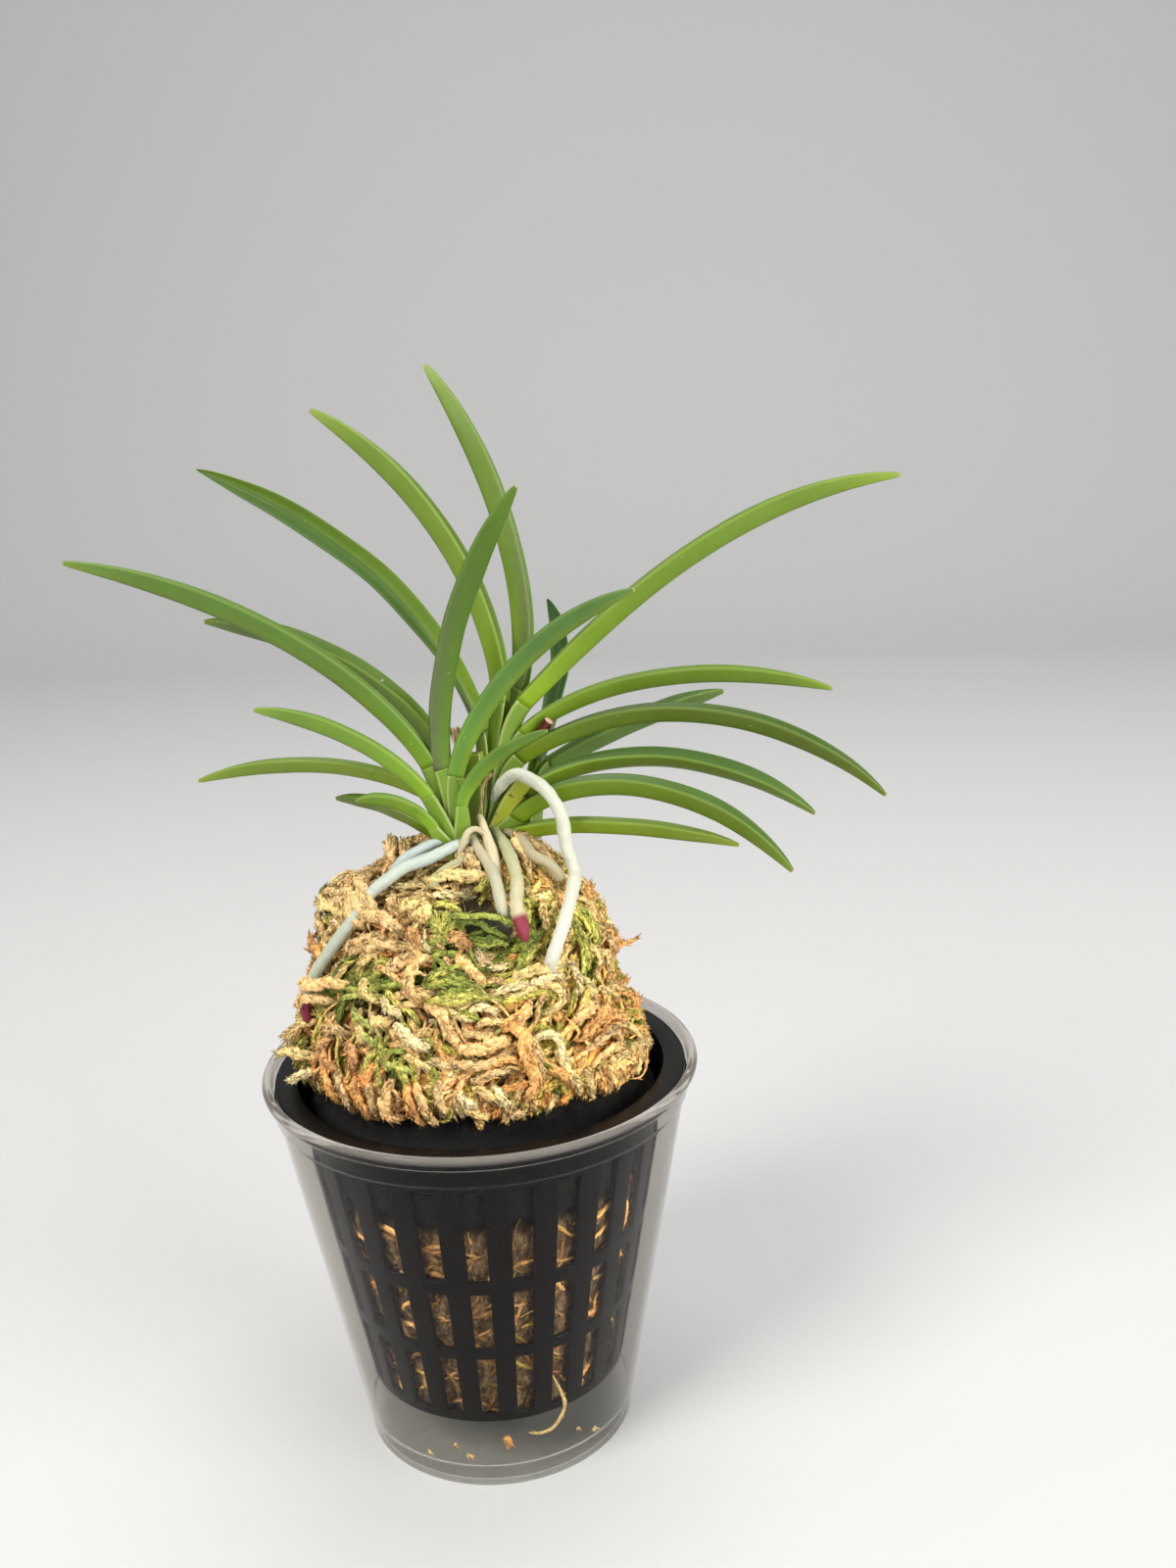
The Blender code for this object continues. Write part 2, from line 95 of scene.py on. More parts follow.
class Finish:
    """A material built round one Principled shader, whose constant sockets are given by name."""

    def __init__(self, name, **constants):
        self.material = bpy.data.materials.new(name)
        self.material.use_nodes = True
        self.tree = self.material.node_tree
        self.shader = self.tree.nodes["Principled BSDF"]
        for socket, value in constants.items():
            self.feed(socket.replace("_", " "), value)

    def _put(self, socket, value):
        if isinstance(value, Value):
            self.tree.links.new(value.socket, socket)
        elif socket.type == "RGBA" and len(value) == 3:
            socket.default_value = (*value, 1.0)
        else:
            socket.default_value = value

    def feed(self, socket, value):
        """Sets one socket of the Principled shader to a constant or links a value to it."""
        self._put(self.shader.inputs[socket], value)

    def node(self, kind, settings=(), inputs=(), out=0):
        """Adds a node: its settings first, a ramp's stops among them, then its sockets."""
        made = self.tree.nodes.new("ShaderNode" + kind)
        for key, value in dict(settings).items():
            if key == "stops":
                ramp = made.color_ramp
                ramp.elements[0].position = value[0][0]
                ramp.elements[1].position = value[-1][0]
                for place, _ in value[1:-1]:
                    ramp.elements.new(place)
                for stop, (_, colour) in zip(ramp.elements, value):
                    stop.color = (*colour, 1.0)
            else:
                setattr(made, key, value)
        for key, value in dict(inputs).items():
            self._put(made.inputs[key], value)
        return Value(self, made.outputs[out])

    def place(self, stretch=(1.0, 1.0, 1.0)):
        """Object coordinates, stretched by three factors."""
        here = self.node("TexCoord", out=3)
        return self.node("VectorMath", {"operation": "MULTIPLY"}, {0: here, 1: stretch})

    def stored(self, name, out=2):
        """A value stored on the mesh under a name: out 2 is a number, out 0 a colour."""
        return self.node("Attribute", {"attribute_name": name}, out=out)

    def noise(self, scale, detail=3.0, rough=0.55, where=None):
        """Noise from 0 to 1 with a number of cells to the metre."""
        inputs = {"Scale": scale, "Detail": detail, "Roughness": rough}
        inputs["Vector"] = where or self.place()
        return self.node("TexNoise", inputs=inputs)

    def rise(self, value, low, high):
        """0 below low, 1 above high and smooth between them; low may be above high."""
        smooth = {"interpolation_type": "SMOOTHSTEP"}
        return self.node("MapRange", smooth, {0: value, 1: low, 2: high})

    def mix(self, factor, first, second):
        """A colour between two colours."""
        return self.node("Mix", {"data_type": "RGBA"}, {0: factor, 6: first, 7: second}, out=2)

    def shade(self, colour, factor):
        """A colour times a number."""
        return self.node("VectorMath", {"operation": "SCALE"}, {0: colour, 3: factor})

    def bump(self, height, strength, distance):
        """Feeds a height in 0 to 1 to the shader's normal as a bump of a given depth."""
        inputs = {"Strength": strength, "Distance": distance, "Height": height}
        self.feed("Normal", self.node("Bump", inputs=inputs))


def make_mesh(name, points, *faces):
    """A smooth mesh from an array of points in millimetres and arrays of equal-sided faces."""
    mesh = bpy.data.meshes.new(name)
    mesh.vertices.add(len(points))
    mesh.vertices.foreach_set("co", (np.asarray(points) * MM).astype(np.float32).ravel())
    corners = np.concatenate([part.ravel() for part in faces])
    sizes = np.concatenate([np.full(len(part), part.shape[1]) for part in faces])
    mesh.loops.add(len(corners))
    mesh.loops.foreach_set("vertex_index", corners.astype(np.int32))
    mesh.polygons.add(len(sizes))
    mesh.polygons.foreach_set("loop_start", (np.cumsum(sizes) - sizes).astype(np.int32))
    mesh.update(calc_edges=True)
    mesh.shade_smooth()
    return mesh


def show(name, mesh, finish):
    """Puts a mesh in the scene with its finish."""
    mesh.materials.append(finish.material)
    piece = bpy.data.objects.new(name, mesh)
    bpy.context.scene.collection.objects.link(piece)
    return piece


def grid_quads(rows, columns, wrap):
    """Quads between neighbours of a grid of points stored row by row.

    Going up a column and along a row to the right, the faces point to the viewer; wrap joins
    the last column to the first.
    """
    row = np.arange(rows - 1)[:, None] * columns
    column = np.arange(columns if wrap else columns - 1)[None, :]
    beside = (column + 1) % columns
    corners = [row + column, row + beside, row + beside + columns, row + column + columns]
    return np.stack(corners, axis=-1).reshape(-1, 4)


floor_finish = Finish("studio_floor", Base_Color=(0.56, 0.56, 0.555), Roughness=0.85)
sweep_turn = np.radians(np.linspace(-90.0, 0.0, 16))
sweep_y = np.concatenate([
    [-FLOOR_FRONT], SWEEP_START + SWEEP_R * np.cos(sweep_turn), [SWEEP_START + SWEEP_R]])
sweep_z = np.concatenate([[0.0], SWEEP_R + SWEEP_R * np.sin(sweep_turn), [WALL_TOP]])
sweep = np.stack([
    np.stack([np.full_like(sweep_y, x), sweep_y, sweep_z], axis=-1)
    for x in (FLOOR_HALF_WIDTH, -FLOOR_HALF_WIDTH)], axis=1)
floor_mesh = make_mesh("studio_floor", sweep.reshape(-1, 3), grid_quads(len(sweep), 2, False))
floor = show("studio_floor", floor_mesh, floor_finish)


def area_light(name, place, size, power, colour):
    """A square soft light at a place in metres, turned to look at the plant."""
    lamp = bpy.data.lights.new(name, "AREA")
    lamp.size = size
    lamp.energy = power
    lamp.color = colour
    holder = bpy.data.objects.new(name, lamp)
    holder.location = place
    look = Vector(LIGHT_AIM) - Vector(place)
    holder.rotation_euler = look.to_track_quat("-Z", "Y").to_euler()
    bpy.context.scene.collection.objects.link(holder)


area_light("key_light", (-0.55, -0.60, 0.85), 0.45, 11.5, (1.0, 0.97, 0.92))
area_light("fill_light", (0.9, -0.6, 0.45), 0.9, 15.0, (1.0, 0.98, 0.94))
area_light("top_light", (0.1, 0.25, 1.1), 0.8, 6.0, (1.0, 1.0, 1.0))

world = bpy.data.worlds.new("studio_air")
world.use_nodes = True
air = world.node_tree.nodes["Background"]
air.inputs["Color"].default_value = (0.80, 0.82, 0.85, 1.0)
air.inputs["Strength"].default_value = 0.45
bpy.context.scene.world = world

camera = bpy.data.objects.new("camera", bpy.data.cameras.new("camera"))
camera.data.lens = CAMERA_LENS
camera.data.sensor_width = CAMERA_SENSOR
camera.data.clip_start = 0.01
camera.location = [value * MM for value in CAMERA_PLACE]
turn = Matrix.Rotation(math.radians(CAMERA_TURN), 4, "Z")
tilt = Matrix.Rotation(math.radians(90.0 + CAMERA_PITCH), 4, "X")
roll = Matrix.Rotation(math.radians(CAMERA_ROLL), 4, "Z")
camera.rotation_euler = (turn @ tilt @ roll).to_euler()
bpy.context.scene.collection.objects.link(camera)
bpy.context.scene.camera = camera
bpy.context.scene.view_settings.view_transform = "Standard"


# ------------------------------------------------------------------ clear cup
# A thin-walled cup of clear moulded plastic: flat base, short upright foot, tapering wall,
# a band under the mouth and a rolled rim.  Its skin has fine scuffs.
CUP_RIM_R = 45.0
CUP_HEIGHT = 83.4
CUP_BASE_R = 28.5
CUP_FOOT_H = 5.0
CUP_BAND_Z = 76.0
CUP_BAND_R = 42.3
CUP_WALL = 0.9
CUP_FLOOR = 1.0
CUP_EDGE = 0.35
CUP_STEPS = 160
RIM_HAZE = 0.26


def fan(ring, middle, turned_over=False):
    """Triangles from a middle point to the neighbours on a closed ring of point numbers."""
    corners = [np.full(len(ring), middle), ring, np.roll(ring, -1)]
    if turned_over:
        corners = [corners[0], corners[2], corners[1]]
    return np.stack(corners, axis=-1)


def tube_faces(tubes, rows, sides):
    """Quads along closed tubes and the fans that close their ends.

    A tube's points are its rings, one after the other, and then its two end points.
    """
    column = np.arange(sides)
    quads = grid_quads(rows, sides, True)
    fans = np.concatenate([
        fan(column, rows * sides, True), fan((rows - 1) * sides + column, rows * sides + 1)])
    start = (np.arange(tubes) * (rows * sides + 2))[:, None, None]
    return (quads + start).reshape(-1, 4), (fans + start).reshape(-1, 3)


def turned(profile, steps):
    """Points, quads and end fans of a profile of (radius, height) turned once round Z.

    Row i is the profile's point i at every angle.  The profile starts and ends on the axis,
    and its first and last points close it there as single points.
    """
    profile = np.array(profile)
    angle = np.arange(steps) * 2 * np.pi / steps
    ring = np.stack([np.cos(angle), -np.sin(angle)], axis=-1)
    body = profile[1:-1]
    heights = np.broadcast_to(body[:, None, 1:], (len(body), steps, 1))
    rows = np.concatenate([body[:, None, :1] * ring, heights], axis=-1)
    ends = np.array([(0.0, 0.0, profile[0, 1]), (0.0, 0.0, profile[-1, 1])])
    points = np.concatenate([rows.reshape(-1, 3), ends])
    return points, *tube_faces(1, len(body), steps)


def rounded(profile, radius, steps=4):
    """The profile with each inner corner replaced by a short arc.

    The arc is a parabola that starts and ends radius away from the corner, or at 0.45 of a
    side that is shorter than that allows.
    """
    profile = [np.array(point, float) for point in profile]
    out = [profile[0]]
    for before, corner, after in zip(profile, profile[1:], profile[2:]):
        to_before = before - corner
        to_after = after - corner
        cut = min(radius, 0.45 * np.linalg.norm(to_before), 0.45 * np.linalg.norm(to_after))
        start = corner + to_before / np.linalg.norm(to_before) * cut
        end = corner + to_after / np.linalg.norm(to_after) * cut
        share = np.linspace(0.0, 1.0, steps)[:, None]
        out += list((1 - share) ** 2 * start + 2 * share * (1 - share) * corner + share**2 * end)
    return out + [profile[-1]]


cup_profile = [
    (0.0, CUP_FLOOR),
    (CUP_BASE_R - 2.0, CUP_FLOOR),
    (CUP_BASE_R - 1.0, 1.9),
    (CUP_BASE_R - 0.8, CUP_FOOT_H),
    (CUP_BASE_R - 0.2, CUP_FOOT_H + 0.9),
    (CUP_BAND_R - CUP_WALL, CUP_BAND_Z),
    (CUP_BAND_R - 0.3, CUP_BAND_Z + 3.6),
    (CUP_BAND_R + 0.6, CUP_BAND_Z + 4.2),
    (CUP_BAND_R + 0.7, CUP_HEIGHT - 0.9),
    (CUP_RIM_R - 1.6, CUP_HEIGHT),
    (CUP_RIM_R - 0.5, CUP_HEIGHT - 0.1),
    (CUP_RIM_R, CUP_HEIGHT - 1.0),
    (CUP_RIM_R - 0.3, CUP_HEIGHT - 2.1),
    (CUP_RIM_R - 1.1, CUP_HEIGHT - 2.5),
    (CUP_BAND_R + 1.3, CUP_HEIGHT - 2.6),
    (CUP_BAND_R + 0.7, CUP_BAND_Z + 0.9),
    (CUP_BAND_R, CUP_BAND_Z),
    (CUP_BASE_R + 0.7, CUP_FOOT_H + 0.6),
    (CUP_BASE_R + 0.2, CUP_FOOT_H),
    (CUP_BASE_R, 1.0),
    (CUP_BASE_R - 1.0, 0.0),
    (0.0, 0.0),
]

# The skin is smooth with fine scuffs, and a little hazy on the rim.  Light on its way to the
# pot goes straight through the wall.
cup_finish = Finish(
    "clear_plastic", Base_Color=(0.64, 0.615, 0.58), Transmission_Weight=1.0, IOR=1.16)
scuffs = cup_finish.noise(240.0, 4.0, 0.7, cup_finish.place((1.0, 1.0, 0.35)))
cup_height = cup_finish.node("SeparateXYZ", inputs={0: cup_finish.place()}, out=2)
at_rim = cup_finish.rise(cup_height, (CUP_HEIGHT - 1.7) * MM, (CUP_HEIGHT - 0.4) * MM)
cup_finish.feed("Roughness", 0.03 + 0.16 * cup_finish.rise(scuffs, 0.52, 0.80) + 0.12 * at_rim)
cup_finish.bump(cup_finish.noise(90.0, 2.0), 0.12, 0.0004)
plain = Value(cup_finish, cup_finish.shader.outputs[0])
haze = cup_finish.node("BsdfDiffuse", inputs={"Color": (0.46, 0.42, 0.38)})
hazy = cup_finish.node("MixShader", inputs={0: RIM_HAZE * at_rim, 1: plain, 2: haze})
let_light = cup_finish.node("BsdfTransparent", inputs={"Color": (0.93, 0.94, 0.94)})
shadow_ray = cup_finish.node("LightPath", out=1)
both = cup_finish.node("MixShader", inputs={0: shadow_ray, 1: hazy, 2: let_light})
cup_output = cup_finish.tree.nodes["Material Output"]
cup_finish.tree.links.new(both.socket, cup_output.inputs["Surface"])

cup_mesh = make_mesh("clear_cup_body", *turned(rounded(cup_profile, CUP_EDGE), CUP_STEPS))
cup = show("clear_cup_body", cup_mesh, cup_finish)
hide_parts("clear_cup")
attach(cup, "root")


# ------------------------------------------------------------------ net pot
# A black injection-moulded net pot that hangs in the cup by its flat lip.  Three rows of
# upright slots go round its wall and eight wedge-shaped openings round its floor.  Its skin
# is one grid of path points by angles, with the open cells left out and walled round.
POT_LIP_R = 42.4
POT_LIP_TOP = 82.0
POT_TOP_R = 38.4
POT_BASE_R = 27.0
POT_BASE_Z = 13.2
POT_WALL = 0.95
POT_FLOOR = 1.1
POT_EDGE = 0.28
TAPER_LOW = POT_BASE_Z + 0.9
TAPER_HIGH = POT_LIP_TOP - 1.7
SLOTS_AROUND = 24
SLOT_HALF = math.radians(3.5)
SLOT_FIRST = math.radians(-87.9)
SLOT_ROWS = ((51.0, 72.0), (34.3, 47.8), (17.2, 31.5))  # heights of their two ends
BETWEEN_SLOTS = (0.085, 0.131, 0.177)  # columns of the wall between two slots, in radians
FLOOR_OPENINGS = 8
FLOOR_OPEN_R = (9.0, 21.0)

pot_heights = np.array([
    15.4, 17.2, 24.0, 31.5, 34.3, 41.0, 47.8, 51.0, 58.0, 65.0, 72.0, 76.0, 79.8])
pot_taper = (POT_TOP_R - POT_BASE_R) / (TAPER_HIGH - TAPER_LOW)
pot_wall_r = POT_BASE_R + pot_taper * (pot_heights - TAPER_LOW)
floor_r = np.array([3.0, 9.0, 15.0, 21.0, 24.5])
lip = [
    (POT_TOP_R - 0.75, POT_LIP_TOP - 0.7), (POT_TOP_R - 0.45, POT_LIP_TOP - 0.2),
    (POT_TOP_R + 0.1, POT_LIP_TOP), (POT_LIP_R - 0.45, POT_LIP_TOP),
    (POT_LIP_R - 0.1, POT_LIP_TOP - 0.1), (POT_LIP_R, POT_LIP_TOP - 0.4),
    (POT_LIP_R, POT_LIP_TOP - 1.0), (POT_LIP_R - 0.3, POT_LIP_TOP - 1.3),
    (POT_TOP_R + 0.5, POT_LIP_TOP - 1.3), (POT_TOP_R + 0.1, POT_LIP_TOP - 1.6)]
floor_top = POT_BASE_Z + POT_FLOOR
inner_path = [(r, floor_top) for r in floor_r] + list(zip(pot_wall_r - POT_WALL, pot_heights))
outer_path = [(r, POT_BASE_Z) for r in floor_r] + list(zip(pot_wall_r, pot_heights))
pot_path = np.array(inner_path + lip + outer_path[::-1])
pairs = len(inner_path)
slot_steps = np.concatenate([np.linspace(-1, 1, 3) * SLOT_HALF, BETWEEN_SLOTS])
slot_angle = SLOT_FIRST + np.arange(SLOTS_AROUND)[:, None] * 2 * np.pi / SLOTS_AROUND
pot_angle = (slot_angle + slot_steps).ravel()
columns = len(pot_angle)
pot_points = np.stack([
    pot_path[:, None, 0] * np.cos(pot_angle), pot_path[:, None, 0] * np.sin(pot_angle),
    np.broadcast_to(pot_path[:, None, 1], (len(pot_path), columns))], axis=-1)

# Which cells of the wall and floor are open: a row of cells for each step of the inner path.
# A slot takes the first two of its six columns, a floor opening the first four of eighteen.
cell_low = np.array(inner_path)[:-1]
cell_high = np.array(inner_path)[1:]
cell_open = np.zeros((pairs - 1, columns), bool)
in_slot = (np.arange(columns) % len(slot_steps)) < 2
for low, high in SLOT_ROWS:
    inside = (cell_low[:, 1] >= low - 0.01) & (cell_high[:, 1] <= high + 0.01)
    cell_open |= inside[:, None] & in_slot[None, :]
on_floor = np.arange(pairs - 1) < len(floor_r) - 1
floor_cell = on_floor & (cell_low[:, 0] >= FLOOR_OPEN_R[0]) & (cell_high[:, 0] <= FLOOR_OPEN_R[1])
floor_turn = (np.arange(columns) - 4) % (columns // FLOOR_OPENINGS)
cell_open |= floor_cell[:, None] & (floor_turn < 4)[None, :]

grid_id = np.arange(len(pot_path) * columns).reshape(len(pot_path), columns)
beside_id = np.roll(grid_id, -1, axis=1)
closed = np.ones((len(pot_path) - 1, columns), bool)
closed[:pairs - 1] = ~cell_open
closed[len(pot_path) - pairs:] = ~cell_open[::-1]
padded_open = np.zeros((pairs + 1, columns), bool)
padded_open[1:-1] = cell_open
left_edge = cell_open & ~np.roll(cell_open, 1, axis=1)
right_edge = cell_open & ~np.roll(cell_open, -1, axis=1)
low_edge = cell_open & ~padded_open[:-2]
high_edge = cell_open & ~padded_open[2:]
inner_id, outer_id = grid_id[:pairs], grid_id[::-1][:pairs]
inner_beside, outer_beside = beside_id[:pairs], beside_id[::-1][:pairs]


def quads_where(chosen, *corners):
    """Quads with their corners in four arrays of point numbers, for the chosen cells."""
    return np.stack(corners, axis=-1)[chosen]


pot_faces = [
    quads_where(closed, grid_id[:-1], grid_id[1:], beside_id[1:], beside_id[:-1]),
    quads_where(left_edge, inner_id[:-1], inner_id[1:], outer_id[1:], outer_id[:-1]),
    quads_where(
        right_edge, inner_beside[1:], inner_beside[:-1], outer_beside[:-1], outer_beside[1:]),
    quads_where(low_edge, inner_beside[:-1], inner_id[:-1], outer_id[:-1], outer_beside[:-1]),
    quads_where(high_edge, inner_id[1:], inner_beside[1:], outer_beside[1:], outer_id[1:])]
pot_ends = np.array([(0.0, 0.0, floor_top), (0.0, 0.0, POT_BASE_Z)])
pot_middle = len(pot_path) * columns
pot_fans = np.concatenate([
    fan(grid_id[0], pot_middle), fan(grid_id[-1], pot_middle + 1, turned_over=True)])
pot_mesh = make_mesh(
    "net_pot_body", np.concatenate([pot_points.reshape(-1, 3), pot_ends]), *pot_faces, pot_fans)
pot_mesh.set_sharp_from_angle(angle=math.radians(35.0))

pot_finish = Finish("black_plastic", Specular_IOR_Level=0.14)
grain = pot_finish.noise(1400.0, 2.0)
dust = pot_finish.rise(pot_finish.noise(420.0, 5.0, 0.75), 0.60, 0.74)
pot_finish.feed(
    "Base Color", pot_finish.mix(dust * 0.35, (0.005, 0.0045, 0.005), (0.035, 0.028, 0.022)))
pot_finish.feed("Roughness", 0.30 + 0.08 * grain + 0.2 * dust)
pot = show("net_pot_body", pot_mesh, pot_finish)
bevel = pot.modifiers.new("moulded_edges", "BEVEL")
bevel.width = POT_EDGE * MM
bevel.segments = 2
bevel.angle_limit = math.radians(50.0)
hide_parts("net_pot")
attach(pot, "root")


# ------------------------------------------------------------------ moss ball
# Dried long-fibred moss packed round the roots and pushed into the pot.  A lumpy dark body
# stands under a few layers of separate strands, each a crooked rope of overlapping scales.
MOSS_PROFILE = (  # height, radius at the sides and back, radius at the front
    (14.7, 24.6, 24.6), (15.8, 25.8, 25.8), (30.0, 28.4, 28.4), (48.0, 31.5, 31.5),
    (66.0, 34.6, 34.6), (72.0, 34.8, 30.8), (78.0, 35.0, 30.2), (84.0, 36.2, 30.8),
    (90.0, 37.0, 32.3), (96.0, 35.6, 32.6), (102.0, 34.0, 31.8), (108.0, 32.0, 30.3),
    (114.0, 29.6, 28.4), (119.0, 26.8, 26.0), (123.5, 22.8, 22.2), (127.0, 18.0, 17.6),
    (129.3, 12.4, 12.2), (130.6, 6.6, 6.4), (131.1, 0.0, 0.0))
HOLLOW_PLACE = (5.2, -19.8)
HOLLOW_DEPTH = 7.5
HOLLOW_STRETCH = 1.4
HOLLOW_SPREAD = 4.0
HOLLOW_ABOVE = 108.0
MEAN_RADIUS = 31.0
SWELLS = (  # angle round Z, height, spread round it, spread up it, how far it stands out
    (6, 125, 16, 7, -3.2), (2, 117, 15, 5, -1.6), (2, 100, 15, 9, -6.0), (182, 119.4, 8, 2.6, 2.8),
    (178, 125.4, 9, 2.6, -3.8), (184, 115.4, 9, 3.0, 0.8), (186, 91, 14, 7, 1.8))

CREAM = (0.86, 0.64, 0.27)
PALE = (0.92, 0.76, 0.40)
TAN = (0.72, 0.50, 0.23)
AMBER = (0.88, 0.57, 0.24)
ORANGE = (0.84, 0.45, 0.15)
RUST = (0.62, 0.34, 0.14)
LIME = (0.58, 0.54, 0.13)
PALE_GREEN = (0.50, 0.53, 0.14)
GREEN = (0.33, 0.365, 0.075)
DEEP_GREEN = (0.155, 0.20, 0.035)

moss_rows = np.array(MOSS_PROFILE)
moss_arc = np.concatenate([[0.0], np.cumsum(np.hypot(*np.diff(moss_rows[:, :2], axis=0).T))])

# How fast the height and the radius change along the arc, as means of 13 neighbours.
fine_arc = np.linspace(0.0, moss_arc[-1], 400)
fine_side = np.stack([np.interp(fine_arc, moss_arc, moss_rows[:, i]) for i in (0, 1)])
fine_slope = np.stack([
    np.convolve(np.pad(row, 6, "edge"), np.full(13, 1 / 13), "valid")
    for row in np.gradient(fine_side, fine_arc, axis=1)])
moss_rng = np.random.default_rng(11)


def arc_at(height):
    """Arc length up the mound's side from its foot to a height."""
    return np.interp(height, moss_rows[:, 0], moss_arc)


def in_hollow(points):
    """1 at the middle of the hollow in front of the crown, falling off to 0 round it.

    It is a bell of the distance from its middle, stretched along X.
    """
    off_x = (points[..., 0] - HOLLOW_PLACE[0]) / HOLLOW_STRETCH
    off_y = points[..., 1] - HOLLOW_PLACE[1]
    bell = np.exp(-(off_x**2 + off_y**2) / HOLLOW_SPREAD**2)
    return bell * (points[..., 2] > HOLLOW_ABOVE)


def turn_between(angle, other):
    """The smaller turn from one angle to another, along the mound's side, in millimetres."""
    return ((angle - other + np.pi) % (2 * np.pi) - np.pi) * MEAN_RADIUS


def mound(arc, angle):
    """The mound's surface: an arc length up its side and an angle round Z give a point.

    The radius lies between the side and the front radius of the profile by the square of
    how far the angle faces -Y.  Swells stand out from it, each a bell of its own spreads,
    and dents are swells below zero.  A hollow in front of the crown is pressed down.
    """
    height, side, front = (np.interp(arc, moss_arc, moss_rows[:, i]) for i in range(3))
    radius = side + (front - side) * np.maximum(0.0, -np.sin(angle)) ** 2
    swell = 0.0 * radius
    for swell_angle, swell_height, wide, tall, out in SWELLS:
        turn = turn_between(angle, math.radians(swell_angle)) / wide
        climb = (arc - arc_at(swell_height)) / tall
        swell = swell + out * np.exp(-0.5 * (turn**2 + climb**2))
    upward, outward = (np.interp(arc, fine_arc, row) for row in fine_slope)
    radius = radius + swell * upward
    height = height - swell * outward
    points = np.stack([radius * np.cos(angle), radius * np.sin(angle), height], axis=-1)
    points[..., 2] -= HOLLOW_DEPTH * in_hollow(points)
    return points


def unit(vectors):
    """Vectors along the last axis, each divided by its length."""
    return vectors / np.maximum(np.linalg.norm(vectors, axis=-1, keepdims=True), 1e-9)


def mound_normal(arc, angle):
    """Outward direction, square to the steps along the arc and round the axis."""
    along = mound(arc + 0.6, angle) - mound(arc - 0.6, angle)
    round_axis = mound(arc, angle + 0.02) - mound(arc, angle - 0.02)
    return unit(np.cross(round_axis, along))


def waves(points, size, count, seed):
    """Soft lumps either side of 0: the sum of count sine waves over the root of count.

    Each wave runs in a random direction, with a length near the given size in millimetres.
    """
    rng = np.random.default_rng(seed)
    direction = unit(rng.normal(size=(count, 3))) * (2 * np.pi / size)
    direction = direction * rng.uniform(0.6, 1.5, (count, 1))
    phase = rng.uniform(0, 2 * np.pi, count)
    return np.sin(points @ direction.T + phase).sum(axis=-1) / np.sqrt(count)


def with_ends(values):
    """Flattens values on rings, in an array (tubes, rings, sides, parts), tube by tube.

    After each tube come the means of its first and of its last ring, for its two end points.
    """
    ends = values[:, [0, -1]].mean(axis=2)
    flat = values.reshape(len(values), -1, values.shape[3])
    return np.concatenate([flat, ends], axis=1).reshape(-1, values.shape[3])


def keep(mesh, name, values):
    """Stores a number or a colour at each point of a mesh."""
    values = np.asarray(values, np.float32)
    if values.ndim == 1 or values.shape[1] == 1:
        mesh.attributes.new(name, "FLOAT", "POINT").data.foreach_set("value", values.ravel())
    else:
        colours = np.concatenate([values, np.ones((len(values), 1), np.float32)], axis=1)
        mesh.attributes.new(name, "FLOAT_COLOR", "POINT").data.foreach_set("color", colours.ravel())


# The dark body: lumpy and 2.6 mm under the strands above the pot, 0.7 mm under them in it, and
# between the two it reaches the pot's wall, where it is painted almost black as shade.
CORE_ROWS, CORE_TURNS = 112, 180
core_arc = np.linspace(0.0, moss_arc[-1] - 0.4, CORE_ROWS)
core_angle = np.arange(CORE_TURNS) * 2 * np.pi / CORE_TURNS
core_grid = np.meshgrid(core_arc, core_angle, indexing="ij")
core_points = mound(*core_grid)
core_normal = mound_normal(*core_grid)
core_height = core_points[..., 2]
in_pot = np.clip((64.0 - core_height) / 6.0, 0.0, 1.0)
at_mouth = np.exp(-((core_height - 72.0) / 8.0) ** 2)
core_lump = waves(core_points, 3.2, 24, 1) * 0.55 + waves(core_points, 9.0, 12, 2) * 0.5
core_lump = core_lump * (1 - 0.6 * at_mouth) * (1 - 0.5 * in_pot)
core_sink = core_lump - 2.6 + 1.9 * in_pot + 2.8 * at_mouth
core_points = core_points + core_normal * core_sink[..., None]
core_z = core_points[..., 2]
against_wall = np.clip((core_z - 62.5) / 3.0, 0.0, 1.0) * np.clip((78.0 - core_z) / 3.0, 0.0, 1.0)
core_r = np.hypot(core_points[..., 0], core_points[..., 1])
wall_r = np.interp(core_z, pot_heights, pot_wall_r - POT_WALL) - 0.35
core_points[..., :2] *= (1 + against_wall * (wall_r / np.maximum(core_r, 1.0) - 1))[..., None]
core_ends = np.array([[0.0, 0.0, 128.4], [0.0, 0.0, 14.9]])
core_count = CORE_ROWS * CORE_TURNS
core_turn = np.arange(CORE_TURNS)
core_fans = np.concatenate([
    fan(core_count - CORE_TURNS + core_turn, core_count),
    fan(core_turn, core_count + 1, turned_over=True)])
core_mesh = make_mesh(
    "moss_body", np.concatenate([core_points.reshape(-1, 3), core_ends]),
    grid_quads(CORE_ROWS, CORE_TURNS, True), core_fans)
keep(core_mesh, "hollow", np.concatenate([in_hollow(mound(*core_grid)).ravel(), [0.0, 0.0]]))
